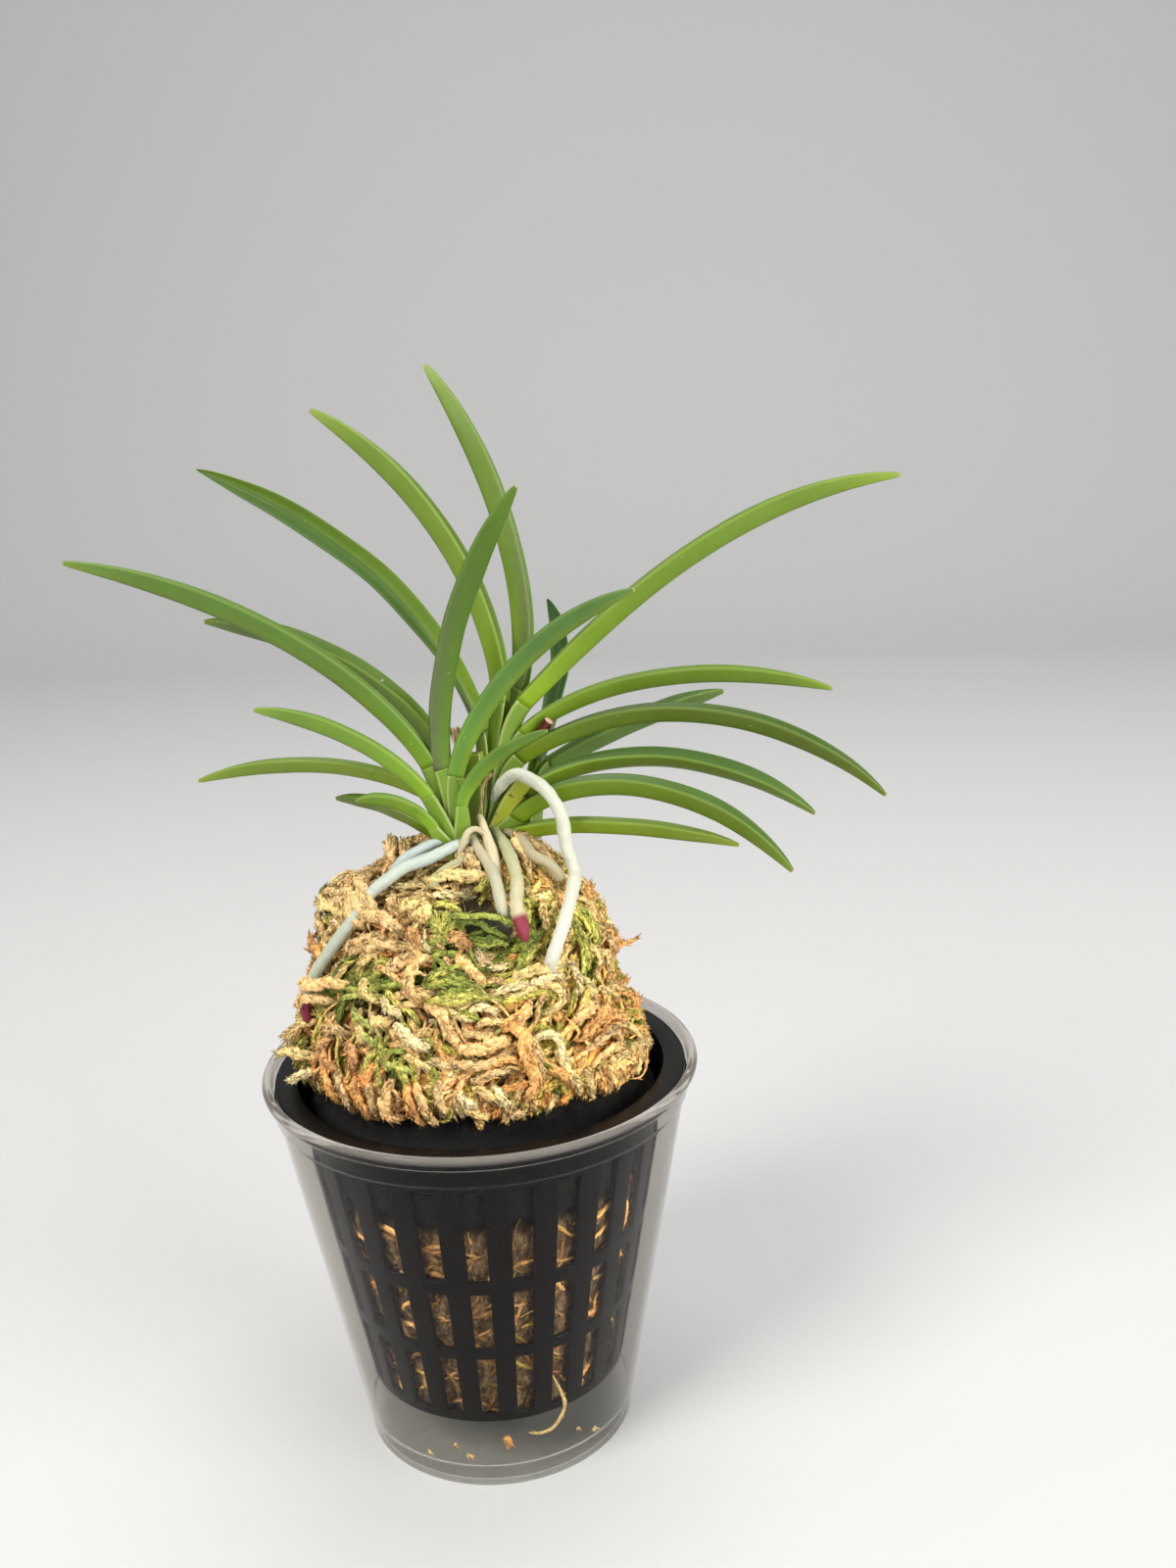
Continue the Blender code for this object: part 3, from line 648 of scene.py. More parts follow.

# Above the pot it is dark litter, behind the slots pressed moss, and between the two it is
# painted almost black as shade.
PRESSED_TOP = (0.0630, 0.0600)
SHADE_TOP = (0.0875, 0.0840)
body_finish = Finish("moss_shade", Roughness=0.95)
litter = body_finish.noise(1300.0, 5.0, 0.7)
# Partly painted shade: the litter is dark of itself and darker still for the shade in the gaps
# between the strands.
litter_shade = body_finish.node("ValToRGB", {"stops": (
    (0.30, (0.03, 0.018, 0.006)), (0.46, (0.11, 0.07, 0.022)), (0.60, (0.24, 0.16, 0.05)),
    (0.75, (0.40, 0.28, 0.10)))}, {0: litter}, out=0)
body_height = body_finish.node("SeparateXYZ", inputs={0: body_finish.place()}, out=2)
in_slots = body_finish.rise(body_height, *PRESSED_TOP)
in_shade = body_finish.rise(body_height, *SHADE_TOP) * (1 - in_slots)
pressed = body_finish.noise(700.0, 5.0, 0.72, body_finish.place((1.0, 1.0, 0.5)))
pressed_tone = body_finish.node("ValToRGB", {"stops": (
    (0.34, (0.04, 0.022, 0.01)), (0.47, (0.17, 0.10, 0.045)), (0.58, (0.40, 0.27, 0.13)),
    (0.70, (0.66, 0.50, 0.28)))}, {0: pressed}, out=0)
litter_shade = body_finish.mix(in_slots, litter_shade, pressed_tone)
# Painted shade: the hollow in front of the crown is a dark blue-green.
hollow_shade = body_finish.shade((0.075, 0.09, 0.065), litter)
litter_shade = body_finish.mix(body_finish.stored("hollow"), litter_shade, hollow_shade)
body_finish.feed("Base Color", body_finish.mix(in_shade, litter_shade, (0.004, 0.003, 0.002)))
body_finish.bump(litter, 0.9, 0.0012)
core = show("moss_body", core_mesh, body_finish)
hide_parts("moss_mound")
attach(core, "root")


# ------------------------------------------------------------------ moss strands
# The strands that show: thick ropes 7 to 17 mm long, thin ones between them, and small
# pointed scales that stand off the ropes.  Green and rust-coloured ones lie in patches.
MOSS_TOP = 131.0
# Strands between these heights are painted almost black as the shade of the pot's wall and lip.
POT_MOUTH = (61.5, 82.0)  # heights between which the pot's wall and lip hide the strands
GREEN_PATCHES = (  # angle round Z, height, spread
    (-144, 106, 5.5), (-136, 105, 5.5), (-126, 102, 5), (-118, 98, 4), (-116, 109, 3.5),
    (-105, 105, 4.5), (-99, 102, 3.5), (-92, 112, 4.5), (-98, 111, 4), (-84, 110, 3.5),
    (-95, 121, 4), (-78, 121, 4), (-62, 116, 4), (-56, 119, 3.5), (-151, 91, 6), (-158, 87, 6),
    (-111, 95, 3.5), (-98, 93, 3), (-56, 103, 3.5), (-46, 120, 4), (-62, 89, 3), (-34, 113, 4),
    (-114, 100, 4), (-88, 106, 3), (40, 105, 9), (120, 96, 10), (165, 112, 8), (80, 120, 6),
    (5, 92, 6))
RUST_PATCHES = (
    (-134, 118, 6), (-124, 118, 5), (-138, 96, 5), (-127, 88, 7), (-104, 87, 5), (-80, 97, 7),
    (-69, 93, 5), (-46, 98, 7), (-31, 96, 8), (-22, 92, 7), (-9, 106, 4), (-87, 118, 2.5),
    (-8, 117, 3), (-112, 114, 4), (60, 90, 10), (150, 100, 8), (100, 110, 8), (22, 100, 6),
    (-172, 104, 5))


def patch_share(patches, arc, angle):
    """How far a place lies in the patches: 1 at a patch's middle, falling off by its spread."""
    table = np.array(patches, float)
    turn = turn_between(angle[:, None], np.radians(table[:, 0]))
    gap = turn**2 + (arc[:, None] - arc_at(table[:, 1])) ** 2
    return np.exp(-gap / (2 * table[:, 2] ** 2)).max(axis=1)


def moss_tone(arc, angle, rng):
    """Picks a colour for each strand by its place, then lightens or darkens it at random.

    A strand is green or rust-coloured by chance, the more often the further it lies in a
    patch.  Those in the pot's mouth are painted almost black as shade, those at the top of the
    left and back are pulled towards tan, the lower ones are redder, and those at the right are
    lightened as painted light.
    """
    count = len(arc)
    height = np.interp(arc, moss_arc, moss_rows[:, 0])
    dry = np.array([CREAM, PALE, CREAM, TAN, CREAM, LIME, AMBER, CREAM])[rng.integers(0, 8, count)]
    green = np.array([GREEN, LIME, PALE_GREEN, PALE_GREEN, DEEP_GREEN])[rng.integers(0, 5, count)]
    rust = np.array([ORANGE, TAN, AMBER, AMBER, CREAM])[rng.integers(0, 5, count)]
    pick = rng.uniform(size=count)
    in_green = 0.02 + 0.66 * patch_share(GREEN_PATCHES, arc, angle)
    in_rust = 0.04 + 0.62 * patch_share(RUST_PATCHES, arc, angle)
    tone = np.where((pick < in_green)[:, None], green, dry)
    tone = np.where((pick > 1.0 - in_rust)[:, None], rust, tone)
    # Painted shade: strands in the pot's mouth are made almost black.
    in_mouth = (height > POT_MOUTH[0]) & (height < POT_MOUTH[1])
    tone = np.where(in_mouth[:, None], tone * 0.03, tone)
    back_left = (height > 121.0) & (np.cos(angle) < -0.25)
    tone = np.where(back_left[:, None], tone * 0.3 + np.array(TAN) * 0.6, tone)
    tone = np.where((height < 100.0)[:, None], tone * (1.07, 0.98, 0.94), tone)
    # Painted light: the strands at the right of the front are lightened.
    right_front_painted_light = (np.cos(angle) > 0.35) & (np.sin(angle) < 0.2)
    tone = np.where(right_front_painted_light[:, None], tone * (1.12, 1.10, 0.97), tone)
    return tone * rng.uniform(0.74, 1.14, (count, 1)) * rng.uniform(0.96, 1.04, (count, 3))


def strand_lines(
        arc, angle, heading, bend, waver, length, lift, arch, end_lift, stations, rng):
    """Centre lines of many strands that lie on the mound, and the mound's normals there.

    A strand's heading in the surface, measured from level, turns by bend along its length
    and wavers by a sine.  Running sums of its sine and cosine give arc length and angle.  It
    lies lift above the mound, arch more in the middle, and end_lift more at its far end.  Both
    ends dip by up to 1.2 mm, and all of it sinks into the hollow.
    """
    share = np.linspace(0.0, 1.0, stations)[None, :]
    count = len(arc)
    swing = rng.uniform(0.7, 1.6, (count, 1)) * share + rng.uniform(0, 1, (count, 1))
    theta = heading[:, None] + bend[:, None] * (share - 0.5)
    theta = theta + waver[:, None] * np.sin(2 * np.pi * swing)
    step = length[:, None] / (stations - 1)
    climb = np.cumsum(np.sin(theta) * step, axis=1)
    arcs = arc[:, None] + climb - climb.mean(axis=1, keepdims=True)
    arcs = np.clip(arcs, 1.0, moss_arc[-1] - 1.5)
    radius = np.interp(arcs, moss_arc, moss_rows[:, 1])
    turns = np.cumsum(np.cos(theta) * step / np.maximum(radius, 4.0), axis=1)
    angles = angle[:, None] + turns - turns.mean(axis=1, keepdims=True)
    normal = mound_normal(arcs, angles)
    off = lift[:, None] + arch[:, None] * 4 * share * (1 - share) - 1.2 * (2 * share - 1) ** 4
    ground = mound(arcs, angles)
    off = off + end_lift[:, None] * share**3 - 3.0 * in_hollow(ground)
    return ground + normal * off[..., None], normal


def ropes(lines, normals, width, flatness, scale_depth, scale_pitch, tone, sides, rng):
    """Skins strands as ropes: oval rings that swell along a spiral like overlapping scales.

    The half width is width / 2 times a taper at both ends, times 1 plus scale_depth times a
    saw of the place along the rope, one tooth every scale_pitch, and of the angle round it.
    The tone is given for each station; the result is rings and a tone for each of their points.
    """
    count, stations = lines.shape[:2]
    tangent = unit(np.gradient(lines, axis=1))
    side = unit(np.cross(tangent, normals))
    up = np.cross(side, tangent)
    share = np.linspace(0.0, 1.0, stations)[None, :, None]
    turn_round = (np.arange(sides) * 2 * np.pi / sides)[None, None, :]
    length = np.linalg.norm(np.diff(lines, axis=1), axis=-1).sum(axis=1)[:, None, None]
    taper = 0.22 + 0.78 * np.sqrt(1.0 - np.abs(2 * share - 1) ** 3)
    spiral = share * length / scale_pitch + turn_round / np.pi
    spiral = spiral + rng.uniform(0, 1, (count, 1, 1))
    saw = spiral - np.floor(spiral) - 0.5
    ragged = rng.uniform(-1, 1, (count, stations, sides))
    grow = 1.0 + scale_depth * saw + 0.5 * scale_depth * ragged
    half = 0.5 * width[:, None, None] * taper * grow
    rings = (lines[:, :, None] + (half * np.cos(turn_round))[..., None] * side[:, :, None]
             - (half * np.sin(turn_round) * flatness[:, None, None])[..., None] * up[:, :, None])
    # Painted shade: darker where the rope draws in between scales and lighter where a scale stands
    # out, with a random tone on top.
    shade = (1.0 + 0.30 * saw + 0.14 * rng.uniform(-1, 1, (count, stations, sides)))[..., None]
    tones = tone[:, :, None, :] * shade
    return rings, tones


def scales(lines, normals, width, tone, each, rng):
    """Small pointed scales on ropes: flat four-sided solids with their tips pointing off.

    Each sits at a random place on a rope and leans from the rope's direction outwards.
    """
    count, stations = lines.shape[:2]
    rope = np.repeat(np.arange(count), each)
    station = rng.integers(2, stations - 2, len(rope))
    tangent = unit(np.gradient(lines, axis=1))[rope, station]
    normal = normals[rope, station]
    side = np.cross(tangent, normal)
    turn_round = rng.uniform(-0.4, np.pi + 0.4, (len(rope), 1))
    out = side * np.cos(turn_round) + normal * np.sin(turn_round)
    across = unit(np.cross(tangent, out) + 0.4 * rng.normal(size=(len(rope), 3)))
    forward = tangent * rng.uniform(0.7, 1.2, (len(rope), 1))
    lean = unit(forward + out * rng.uniform(0.08, 0.55, (len(rope), 1)))
    base = lines[rope, station] + out * width[rope, None] * 0.36
    reach = rng.uniform(0.9, 2.1, (len(rope), 1)) * (0.6 + 0.25 * width[rope, None])
    broad = reach * rng.uniform(0.18, 0.30, (len(rope), 1))
    thick = unit(np.cross(lean, across)) * 0.16
    corners = [base - across * broad, base + across * broad, base + thick, base + lean * reach]
    shade = rng.uniform(0.66, 1.34, (len(rope), 1)) * tone[rope, station]
    faces = np.array([(0, 2, 1), (0, 1, 3), (0, 3, 2), (1, 2, 3)])
    faces = (faces + 4 * np.arange(len(rope))[:, None, None]).reshape(-1, 3)
    return np.stack(corners, axis=1).reshape(-1, 3), np.repeat(shade, 4, axis=0), faces


def tone_along(lines, tone, rng, shaded=0.88):
    """A tone for each station.

    It drifts a little from end to end, is darkened as painted shade where the ends dip under
    other strands, and loses the shaded share of itself to painted shade in the hollow.
    """
    share = np.linspace(-1.0, 1.0, lines.shape[1])[None, :]
    drift_and_end_shade = 1.0 + rng.uniform(-0.16, 0.16, (len(lines), 1)) * share - 0.4 * share**4
    return tone[:, None, :] * (drift_and_end_shade * (1.0 - shaded * in_hollow(lines)))[..., None]


moss_finish = Finish("moss_strand", Roughness=0.9, Specular_IOR_Level=0.25)
strand_tone = moss_finish.stored("tone", out=0)
fibre = moss_finish.noise(2600.0, 4.0, 0.7)
crease = moss_finish.rise(moss_finish.noise(1500.0, 2.0), 0.40, 0.54)
relief = (0.36 + 1.44 * fibre) * (0.74 + 0.34 * crease)
moss_finish.feed("Base Color", moss_finish.shade(strand_tone, relief))
moss_finish.bump(fibre, 0.5, 0.0005)


def strand_piece(name, rings, tones, loose_scales):
    """Makes one mesh of ropes and of the scales on them, and puts it in the scene."""
    points, tone = with_ends(rings), with_ends(tones)
    quads, fans = tube_faces(*rings.shape[:3])
    scale_points, scale_tone, scale_faces = loose_scales
    triangles = np.concatenate([fans, scale_faces + len(points)])
    mesh = make_mesh(name, np.concatenate([points, scale_points]), quads, triangles)
    keep(mesh, "tone", np.concatenate([tone, scale_tone]))
    piece = show(name, mesh, moss_finish)
    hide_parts("moss_mound")
    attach(piece, "root")


def scatter(count, low, high, rng):
    """Random places between two heights, as dense near the top as at the side.

    A try is kept by a chance that grows with the mound's radius there, and those in the
    hollow are dropped.
    """
    tries = rng.uniform(arc_at(low), arc_at(high), count * 4)
    radius = np.interp(tries, moss_arc, moss_rows[:, 1])
    arc = tries[rng.uniform(0, 37.0, count * 4) < radius + 1.5][:count]
    angle = rng.uniform(-np.pi, np.pi, len(arc))
    outside = in_hollow(mound(arc, angle)) < 0.45
    return arc[outside], angle[outside]


FLOWS = (  # angle, height, spread, the heading that strands share there, in degrees
    (-122, 88, 8, 82), (-102, 88, 7, 88), (-75, 97, 8, 5), (-42, 96, 9, 4), (-20, 92, 8, -12),
    (-90, 112, 8, -18), (-128, 116, 8, 18), (-55, 87, 6, 78), (-62, 110, 6, 20),
    (-152, 100, 9, 60), (-112, 104, 7, -28), (-85, 87, 6, 60), (-140, 124, 7, 10),
    (-30, 112, 8, 75), (-100, 123, 5, 8), (-60, 122, 6, 50))


def flow(arc, angle, rng):
    """The heading of each strand: slow waves over the mound, turned to the flows near by.

    Headings are averaged as unit vectors of twice the angle, for a strand has no front.  Some
    strands go astray and take any heading.
    """
    wander = 2.6 * waves(mound(arc, angle), 26.0, 10, 7)
    total = 0.35 * np.exp(2j * wander)
    for flow_angle, flow_height, spread, heading in FLOWS:
        near = patch_share(((flow_angle, flow_height, spread),), arc, angle)
        total = total + near * np.exp(2j * math.radians(heading))
    mean = 0.5 * np.angle(total) + rng.normal(0, 0.42, len(arc))
    stray = rng.uniform(size=len(arc)) < 0.22
    heading = np.where(stray, rng.uniform(-np.pi, np.pi, len(arc)), mean)
    return heading + np.pi * rng.integers(0, 2, len(arc))


def smooth_line(knots, per_span):
    """A smooth curve through the knots and its unit tangents.

    Between two knots it is the cubic whose slope at each knot is half the way from the knot
    before to the knot after.
    """
    knots = np.array(knots)
    ends = np.concatenate([knots[:1], knots, knots[-1:]])
    slope = 0.5 * (ends[2:] - ends[:-2])
    t = (np.arange(per_span) / per_span)[None, :, None]
    first, second = knots[:-1, None], knots[1:, None]
    spans = ((2 * t**3 - 3 * t**2 + 1) * first + (t**3 - 2 * t**2 + t) * slope[:-1, None]
             + (3 * t**2 - 2 * t**3) * second + (t**3 - t**2) * slope[1:, None])
    line = np.concatenate([spans.reshape(-1, 3), knots[-1:]])
    return line, unit(np.gradient(line, axis=0))


def laid_lines(rows, stations, rng):
    """Centre lines through given places on the mound, with its normals there.

    A line lies a little less than its lift above the mound in the middle, dips into it at
    both ends, stands off by the end lift at its far end, and wavers by a few fixed sines.
    """
    share = np.linspace(0.0, 1.0, stations)
    lines, normals = [], []
    for _, _, lift, end_lift, *knots in rows:
        flat = [(arc_at(height), math.radians(angle) * MEAN_RADIUS, 0.0) for angle, height in knots]
        curve = smooth_line(flat, 20)[0]
        place = share * (len(curve) - 1)
        arcs = np.interp(place, np.arange(len(curve)), curve[:, 0])
        angles = np.interp(place, np.arange(len(curve)), curve[:, 1]) / MEAN_RADIUS
        shake = rng.uniform(0, 2 * np.pi, 4)
        arcs = arcs + 0.22 * np.sin(11 * share + shake[0]) + 0.10 * np.sin(29 * share + shake[1])
        angles = angles + 0.006 * np.sin(9 * share + shake[2])
        angles = angles + 0.003 * np.sin(25 * share + shake[3])
        arcs = np.minimum(arcs, moss_arc[-1] - 1.0)
        normal = mound_normal(arcs, angles)
        off = (lift + 0.9) * np.sqrt(np.sin(np.pi * np.clip(share, 0.01, 0.99))) - 1.8
        off = off + end_lift * share**2.5
        lines.append(mound(arcs, angles) + normal * off[:, None])
        normals.append(normal)
    return np.array(lines), np.array(normals)


# Ropes outside the pot, in five pieces from the lowest, darkest layer to the highest.  A tone
# is raised to a layer's power, which deepens its colour, and multiplied by its shade.  This is
# painted shade, darker and deeper in colour on the lower layers and lighter on the top ones.
ROPE_LENGTH = (7.0, 17.0)
ROPE_LAYERS = (  # count, lift, arch, least and most width, stations, scales on each, shade, power
    (260, -2.6, 0.2, 1.7, 2.8, 16, 12, 0.80, 1.5), (330, -2.0, 0.4, 1.3, 2.4, 18, 26, 0.90, 1.3),
    (340, -1.6, 0.6, 1.1, 2.1, 20, 34, 0.98, 1.15), (300, -1.3, 0.9, 0.9, 1.9, 20, 38, 1.06, 1.0),
    (230, -1.0, 1.0, 0.8, 1.5, 18, 42, 1.10, 1.0))
for layer, (count, lift, arch, thin, thick, stations, each, shade, power) in enumerate(ROPE_LAYERS):
    arc, angle = scatter(count, 86.0, MOSS_TOP, moss_rng)
    count = len(arc)
    heading = flow(arc, angle, moss_rng)
    length = moss_rng.uniform(*ROPE_LENGTH, count)
    width = moss_rng.uniform(thin, thick, count)
    bend = moss_rng.normal(0, 0.9, count)
    is_loose = moss_rng.uniform(size=count) < 0.04 * layer
    loose = np.where(is_loose, moss_rng.uniform(0.8, 2.6, count), 0.0)
    lines, normals = strand_lines(
        arc, angle, heading, bend, moss_rng.uniform(0.1, 0.5, count), length, np.full(count, lift),
        np.full(count, arch) * moss_rng.uniform(0.4, 1.4, count), loose, stations, moss_rng)
    tone = tone_along(lines, moss_tone(arc, angle, moss_rng) ** power * shade, moss_rng)
    rings, tones = ropes(
        lines, normals, width, moss_rng.uniform(0.45, 0.8, count), 0.5, 1.8, tone, 5, moss_rng)
    loose_scales = scales(lines, normals, width, tone, each, moss_rng)
    strand_piece(f"moss_ropes_{layer + 1}", rings, tones, loose_scales)

# Single strands that stand out: long ones that cross the others, curls and loose ends.
SINGLE_STATIONS = 32
SINGLE_STRANDS = (  # tone, width, lift, lift of the far end, angle and height of each knot
    # the lumps at the upper left, and the strands that lie over a root there
    (TAN, 2.6, 2.2, 0.0, (-197, 125), (-184, 124), (-170, 123.6), (-158, 124)),
    (TAN, 2.4, 2.0, 0.0, (-178, 121.5), (-167, 122), (-156, 121)),
    (TAN, 2.2, 2.4, 0.8, (-150, 124), (-160, 124.6), (-170, 123.6)),
    (TAN, 2.7, 3.2, 0.0, (-158, 128), (-176, 128.6), (-193, 127.8)),
    (TAN, 2.2, 2.2, 0.0, (-146, 128.6), (-162, 129.4), (-182, 129.2)),
    (CREAM, 2.4, 2.2, 1.4, (-150, 119.6), (-160, 119), (-170, 118.6)),
    (TAN, 2.2, 1.8, 1.0, (-152, 121.2), (-162, 120.6), (-172, 119.6)),
    (TAN, 2.6, 5.0, 0.0, (-158, 121.8), (-143, 122.3), (-130, 120.2)),
    (TAN, 2.5, 5.0, 0.0, (-154, 123.8), (-141, 123.6), (-128, 121.6)),
    (TAN, 2.3, 4.8, 0.0, (-157, 119.9), (-145, 120.9), (-134, 118.9)),
    (TAN, 2.6, 2.2, 0.0,
     (-142, 115.5), (-141, 118), (-135, 120.2), (-126, 121), (-118, 120.3), (-113, 118.8)),
    (TAN, 2.4, 1.8, 0.0, (-143, 114), (-134, 116), (-126, 117.6), (-120, 118)),
    (TAN, 2.2, 1.5, 0.0, (-140, 113.3), (-131, 115.8), (-122, 117), (-112.5, 117)),
    (TAN, 2.4, 1.7, 0.0, (-117, 112.6), (-112.5, 114.3), (-107, 116)),
    (RUST, 2.0, 1.6, 0.0, (-111, 120), (-108, 119.2), (-104, 117.8)),
    (CREAM, 2.4, 2.0, 0.0, (-119, 123.3), (-114, 123.5), (-108, 125)),
    (CREAM, 2.6, 1.9, 0.0, (-112, 122), (-106, 123.4), (-102, 121.3)),
    (TAN, 2.0, 1.9, 0.0, (-128, 124.5), (-123, 123.2), (-119, 121.8)),
    (ORANGE, 2.2, 1.5, 3.0, (-152, 109), (-159, 111), (-166, 112)),
    (TAN, 1.7, 1.4, 1.6, (-160, 113.5), (-167, 115), (-174, 115.6)),
    # round the hollow
    (TAN, 2.8, 2.2, 0.0, (-94, 128.3), (-87, 129.6), (-80, 128.8), (-77, 127.8)),
    (CREAM, 2.6, 2.7, 0.0,
     (-113, 126.4), (-104, 127.2), (-95, 127.8), (-84, 128.1), (-74, 128), (-64, 127.4)),
    (LIME, 1.7, 2.9, 0.0, (-80, 127.6), (-70, 127.6), (-58, 126.6)),
    (LIME, 1.5, 2.5, 0.0, (-103, 124), (-97, 124.4), (-92, 124), (-89, 122.4), (-87, 120)),
    (GREEN, 1.2, 1.8, 0.0, (-96.5, 119), (-99.5, 121), (-101.5, 122.6)),
    (LIME, 1.1, 1.9, 0.0, (-96, 119), (-98, 121.4), (-98.5, 123.3)),
    (LIME, 1.2, 2.0, 0.0, (-95.5, 119), (-95.5, 121.6), (-95, 124)),
    (GREEN, 1.1, 1.9, 0.0, (-95, 119), (-93, 121.6), (-91.5, 123.8)),
    (LIME, 1.2, 1.8, 0.0, (-94.5, 119), (-91.5, 121), (-89.5, 122.8)),
    (GREEN, 1.5, 5.6, 0.0,
     (-95, 122.8), (-89, 121.6), (-81, 120.6), (-72, 119.6), (-64, 119.2), (-58, 118.6)),
    (DEEP_GREEN, 1.2, 4.4, 0.0, (-92, 121.6), (-85, 120.4), (-76, 119.2), (-67, 118.6)),
    (DEEP_GREEN, 1.4, 2.2, 0.0, (-84, 121), (-77, 120.4), (-70, 119.6)),
    (DEEP_GREEN, 1.1, 3.0, 0.0, (-86, 119.6), (-78, 118.6), (-70, 119)),
    (GREEN, 1.0, 3.0, 0.0, (-83, 118.6), (-76, 117.8), (-68, 118.4)),
    (DEEP_GREEN, 1.1, 2.2, 0.0, (-66, 114.4), (-61, 116.6), (-53, 118.6)),
    (LIME, 1.8, 1.8, 0.0, (-50, 124.5), (-56, 123), (-57, 120.6)),
    (CREAM, 1.6, 1.9, 0.0, (-44, 123.5), (-50, 121), (-50, 118.3)),
    (LIME, 1.4, 1.7, 0.0, (-41, 121), (-45, 118.6), (-44, 116)),
    (GREEN, 1.2, 2.0, 0.0, (-67.5, 112.4), (-63, 115.8), (-60, 118.8)),
    (LIME, 1.2, 2.0, 0.0, (-65.5, 112.4), (-61, 115.2), (-56.5, 117.8)),
    (GREEN, 1.2, 2.1, 0.0, (-66.5, 113), (-60.5, 117), (-57, 119.8)),
    # the middle
    (AMBER, 2.2, 2.1, 0.3,
     (-100.5, 116.3), (-104, 115.2), (-106.5, 113.2), (-107, 111.2), (-105.5, 109.6), (-102, 108)),
    (RUST, 2.4, 1.6, 0.0, (-94, 119.3), (-88, 119), (-84.5, 117.4)),
    (AMBER, 2.0, 1.9, 0.0, (-90, 116.4), (-85, 114), (-79, 111.2)),
    (AMBER, 2.2, 2.1, 0.0, (-102, 108), (-95, 105.6), (-92.3, 103), (-90.3, 99.5)),
    (GREEN, 1.1, 2.1, 0.0, (-104, 110.6), (-96, 111.3), (-88, 111.2), (-79, 110.6)),
    (DEEP_GREEN, 1.0, 2.0, 0.0, (-103, 111.2), (-95, 112.4), (-87, 113), (-80, 112.6)),
    (GREEN, 1.0, 2.1, 0.0, (-102.5, 111.6), (-96, 113.6), (-88, 114.4), (-83, 113.8)),
    (GREEN, 1.0, 2.0, 0.0, (-98.5, 116), (-93, 113.8), (-87, 112), (-82, 111.4)),
    (DEEP_GREEN, 1.0, 1.9, 0.0, (-99.5, 115), (-95, 112.4), (-90, 110.2)),
    (LIME, 0.8, 2.2, 0.0, (-101, 112), (-95, 113), (-89, 113.6)),
    (LIME, 0.8, 2.2, 0.0, (-102, 110.9), (-94, 111.8), (-86, 112)),
    (LIME, 1.3, 1.9, 0.0, (-102, 108.3), (-96, 108.6), (-89, 109.2), (-80, 109.8)),
    (LIME, 1.2, 1.8, 0.0, (-99, 107.4), (-92, 108.1), (-85, 108.6), (-79, 108.2)),
    (GREEN, 1.0, 1.8, 0.0, (-98, 109.6), (-91, 110.1), (-84, 110.3)),
    (GREEN, 1.1, 1.9, 0.0,
     (-142, 106.2), (-135, 107.8), (-127, 108.6), (-119, 109.6), (-110, 110.2)),
    (PALE_GREEN, 1.1, 1.8, 0.0, (-141, 105), (-133, 106.6), (-125, 107.6), (-117, 108.6)),
    (GREEN, 1.0, 1.9, 0.0, (-129, 109), (-120, 110.2), (-112, 110.7), (-106, 110.2)),
    (DEEP_GREEN, 0.9, 1.9, 0.0, (-126, 109.4), (-118, 110.9), (-111, 111.2)),
    (PALE_GREEN, 1.4, 1.6, 0.0, (-132, 103.8), (-125, 103.2), (-118, 101.6)),
    (PALE_GREEN, 1.3, 1.6, 0.0, (-129, 101.2), (-122, 100.2), (-115, 99)),
    (GREEN, 1.1, 1.7, 0.0, (-121, 99.4), (-113, 98.6), (-106, 98.8)),
    (PALE_GREEN, 1.3, 1.6, 0.0, (-118, 96.4), (-111, 95.8), (-104, 94.6)),
    (GREEN, 1.4, 1.4, 0.0, (-148, 105.2), (-141, 106.6), (-133, 106.8)),
    (LIME, 1.4, 1.5, 0.0, (-146, 107), (-139, 108), (-131, 107.6)),
    (CREAM, 1.9, 2.0, 0.3, (-127.5, 110.6), (-124.5, 108.6), (-120, 106.9)),
    (PALE, 1.6, 1.8, 0.4, (-118.5, 107.6), (-114, 106.6), (-110.5, 104.8)),
    (CREAM, 1.8, 1.7, 0.0, (-122, 104.5), (-118, 103.4), (-113.5, 104.2)),
    (PALE, 2.2, 2.3, 0.2, (-112, 103.6), (-106.5, 101.7), (-100, 99.3)),
    (PALE, 1.3, 1.4, 0.0, (-86, 106.4), (-80, 106.8), (-75, 105.6)),
    (CREAM, 1.3, 1.5, 0.0, (-84, 103.2), (-79, 104.4), (-74, 103.6)),
    (TAN, 1.4, 1.5, 0.0, (-88, 101.8), (-82, 102), (-77, 101)),
    (AMBER, 1.7, 1.9, 0.0, (-64, 106.6), (-67.5, 104.4), (-69.5, 101.6)),
    # under the long root's end
    (CREAM, 1.9, 2.8, 0.0, (-70, 111.2), (-62, 112.2), (-54, 112.4), (-47, 111.6)),
    (PALE, 1.7, 2.4, 0.0, (-64, 109.6), (-57, 110.6), (-50, 110)),
    (CREAM, 1.6, 2.2, 0.0, (-61, 108.5), (-56, 109.2), (-52.5, 107.6), (-54, 105), (-60, 104.4)),
    (PALE, 1.3, 1.7, 0.0, (-76, 109), (-69, 110.2), (-62, 109.6)),
    (CREAM, 1.5, 1.8, 0.0, (-52, 113.8), (-51.5, 110.5), (-54, 107.5)),
    # lower left: a brown bundle and a row of ribs
    (RUST, 2.3, 2.0, 0.0, (-136, 99.3), (-140.5, 97), (-139, 93.8), (-135.5, 91.4)),
    (RUST, 2.0, 1.8, 0.0, (-131, 98.8), (-127, 96.5), (-129, 93.4)),
    (TAN, 1.8, 1.8, 0.0, (-145, 98.2), (-138, 99.8), (-131, 99.6)),
    (CREAM, 1.7, 1.6, 0.0, (-128, 104.6), (-125, 101.5), (-125.5, 98.8)),
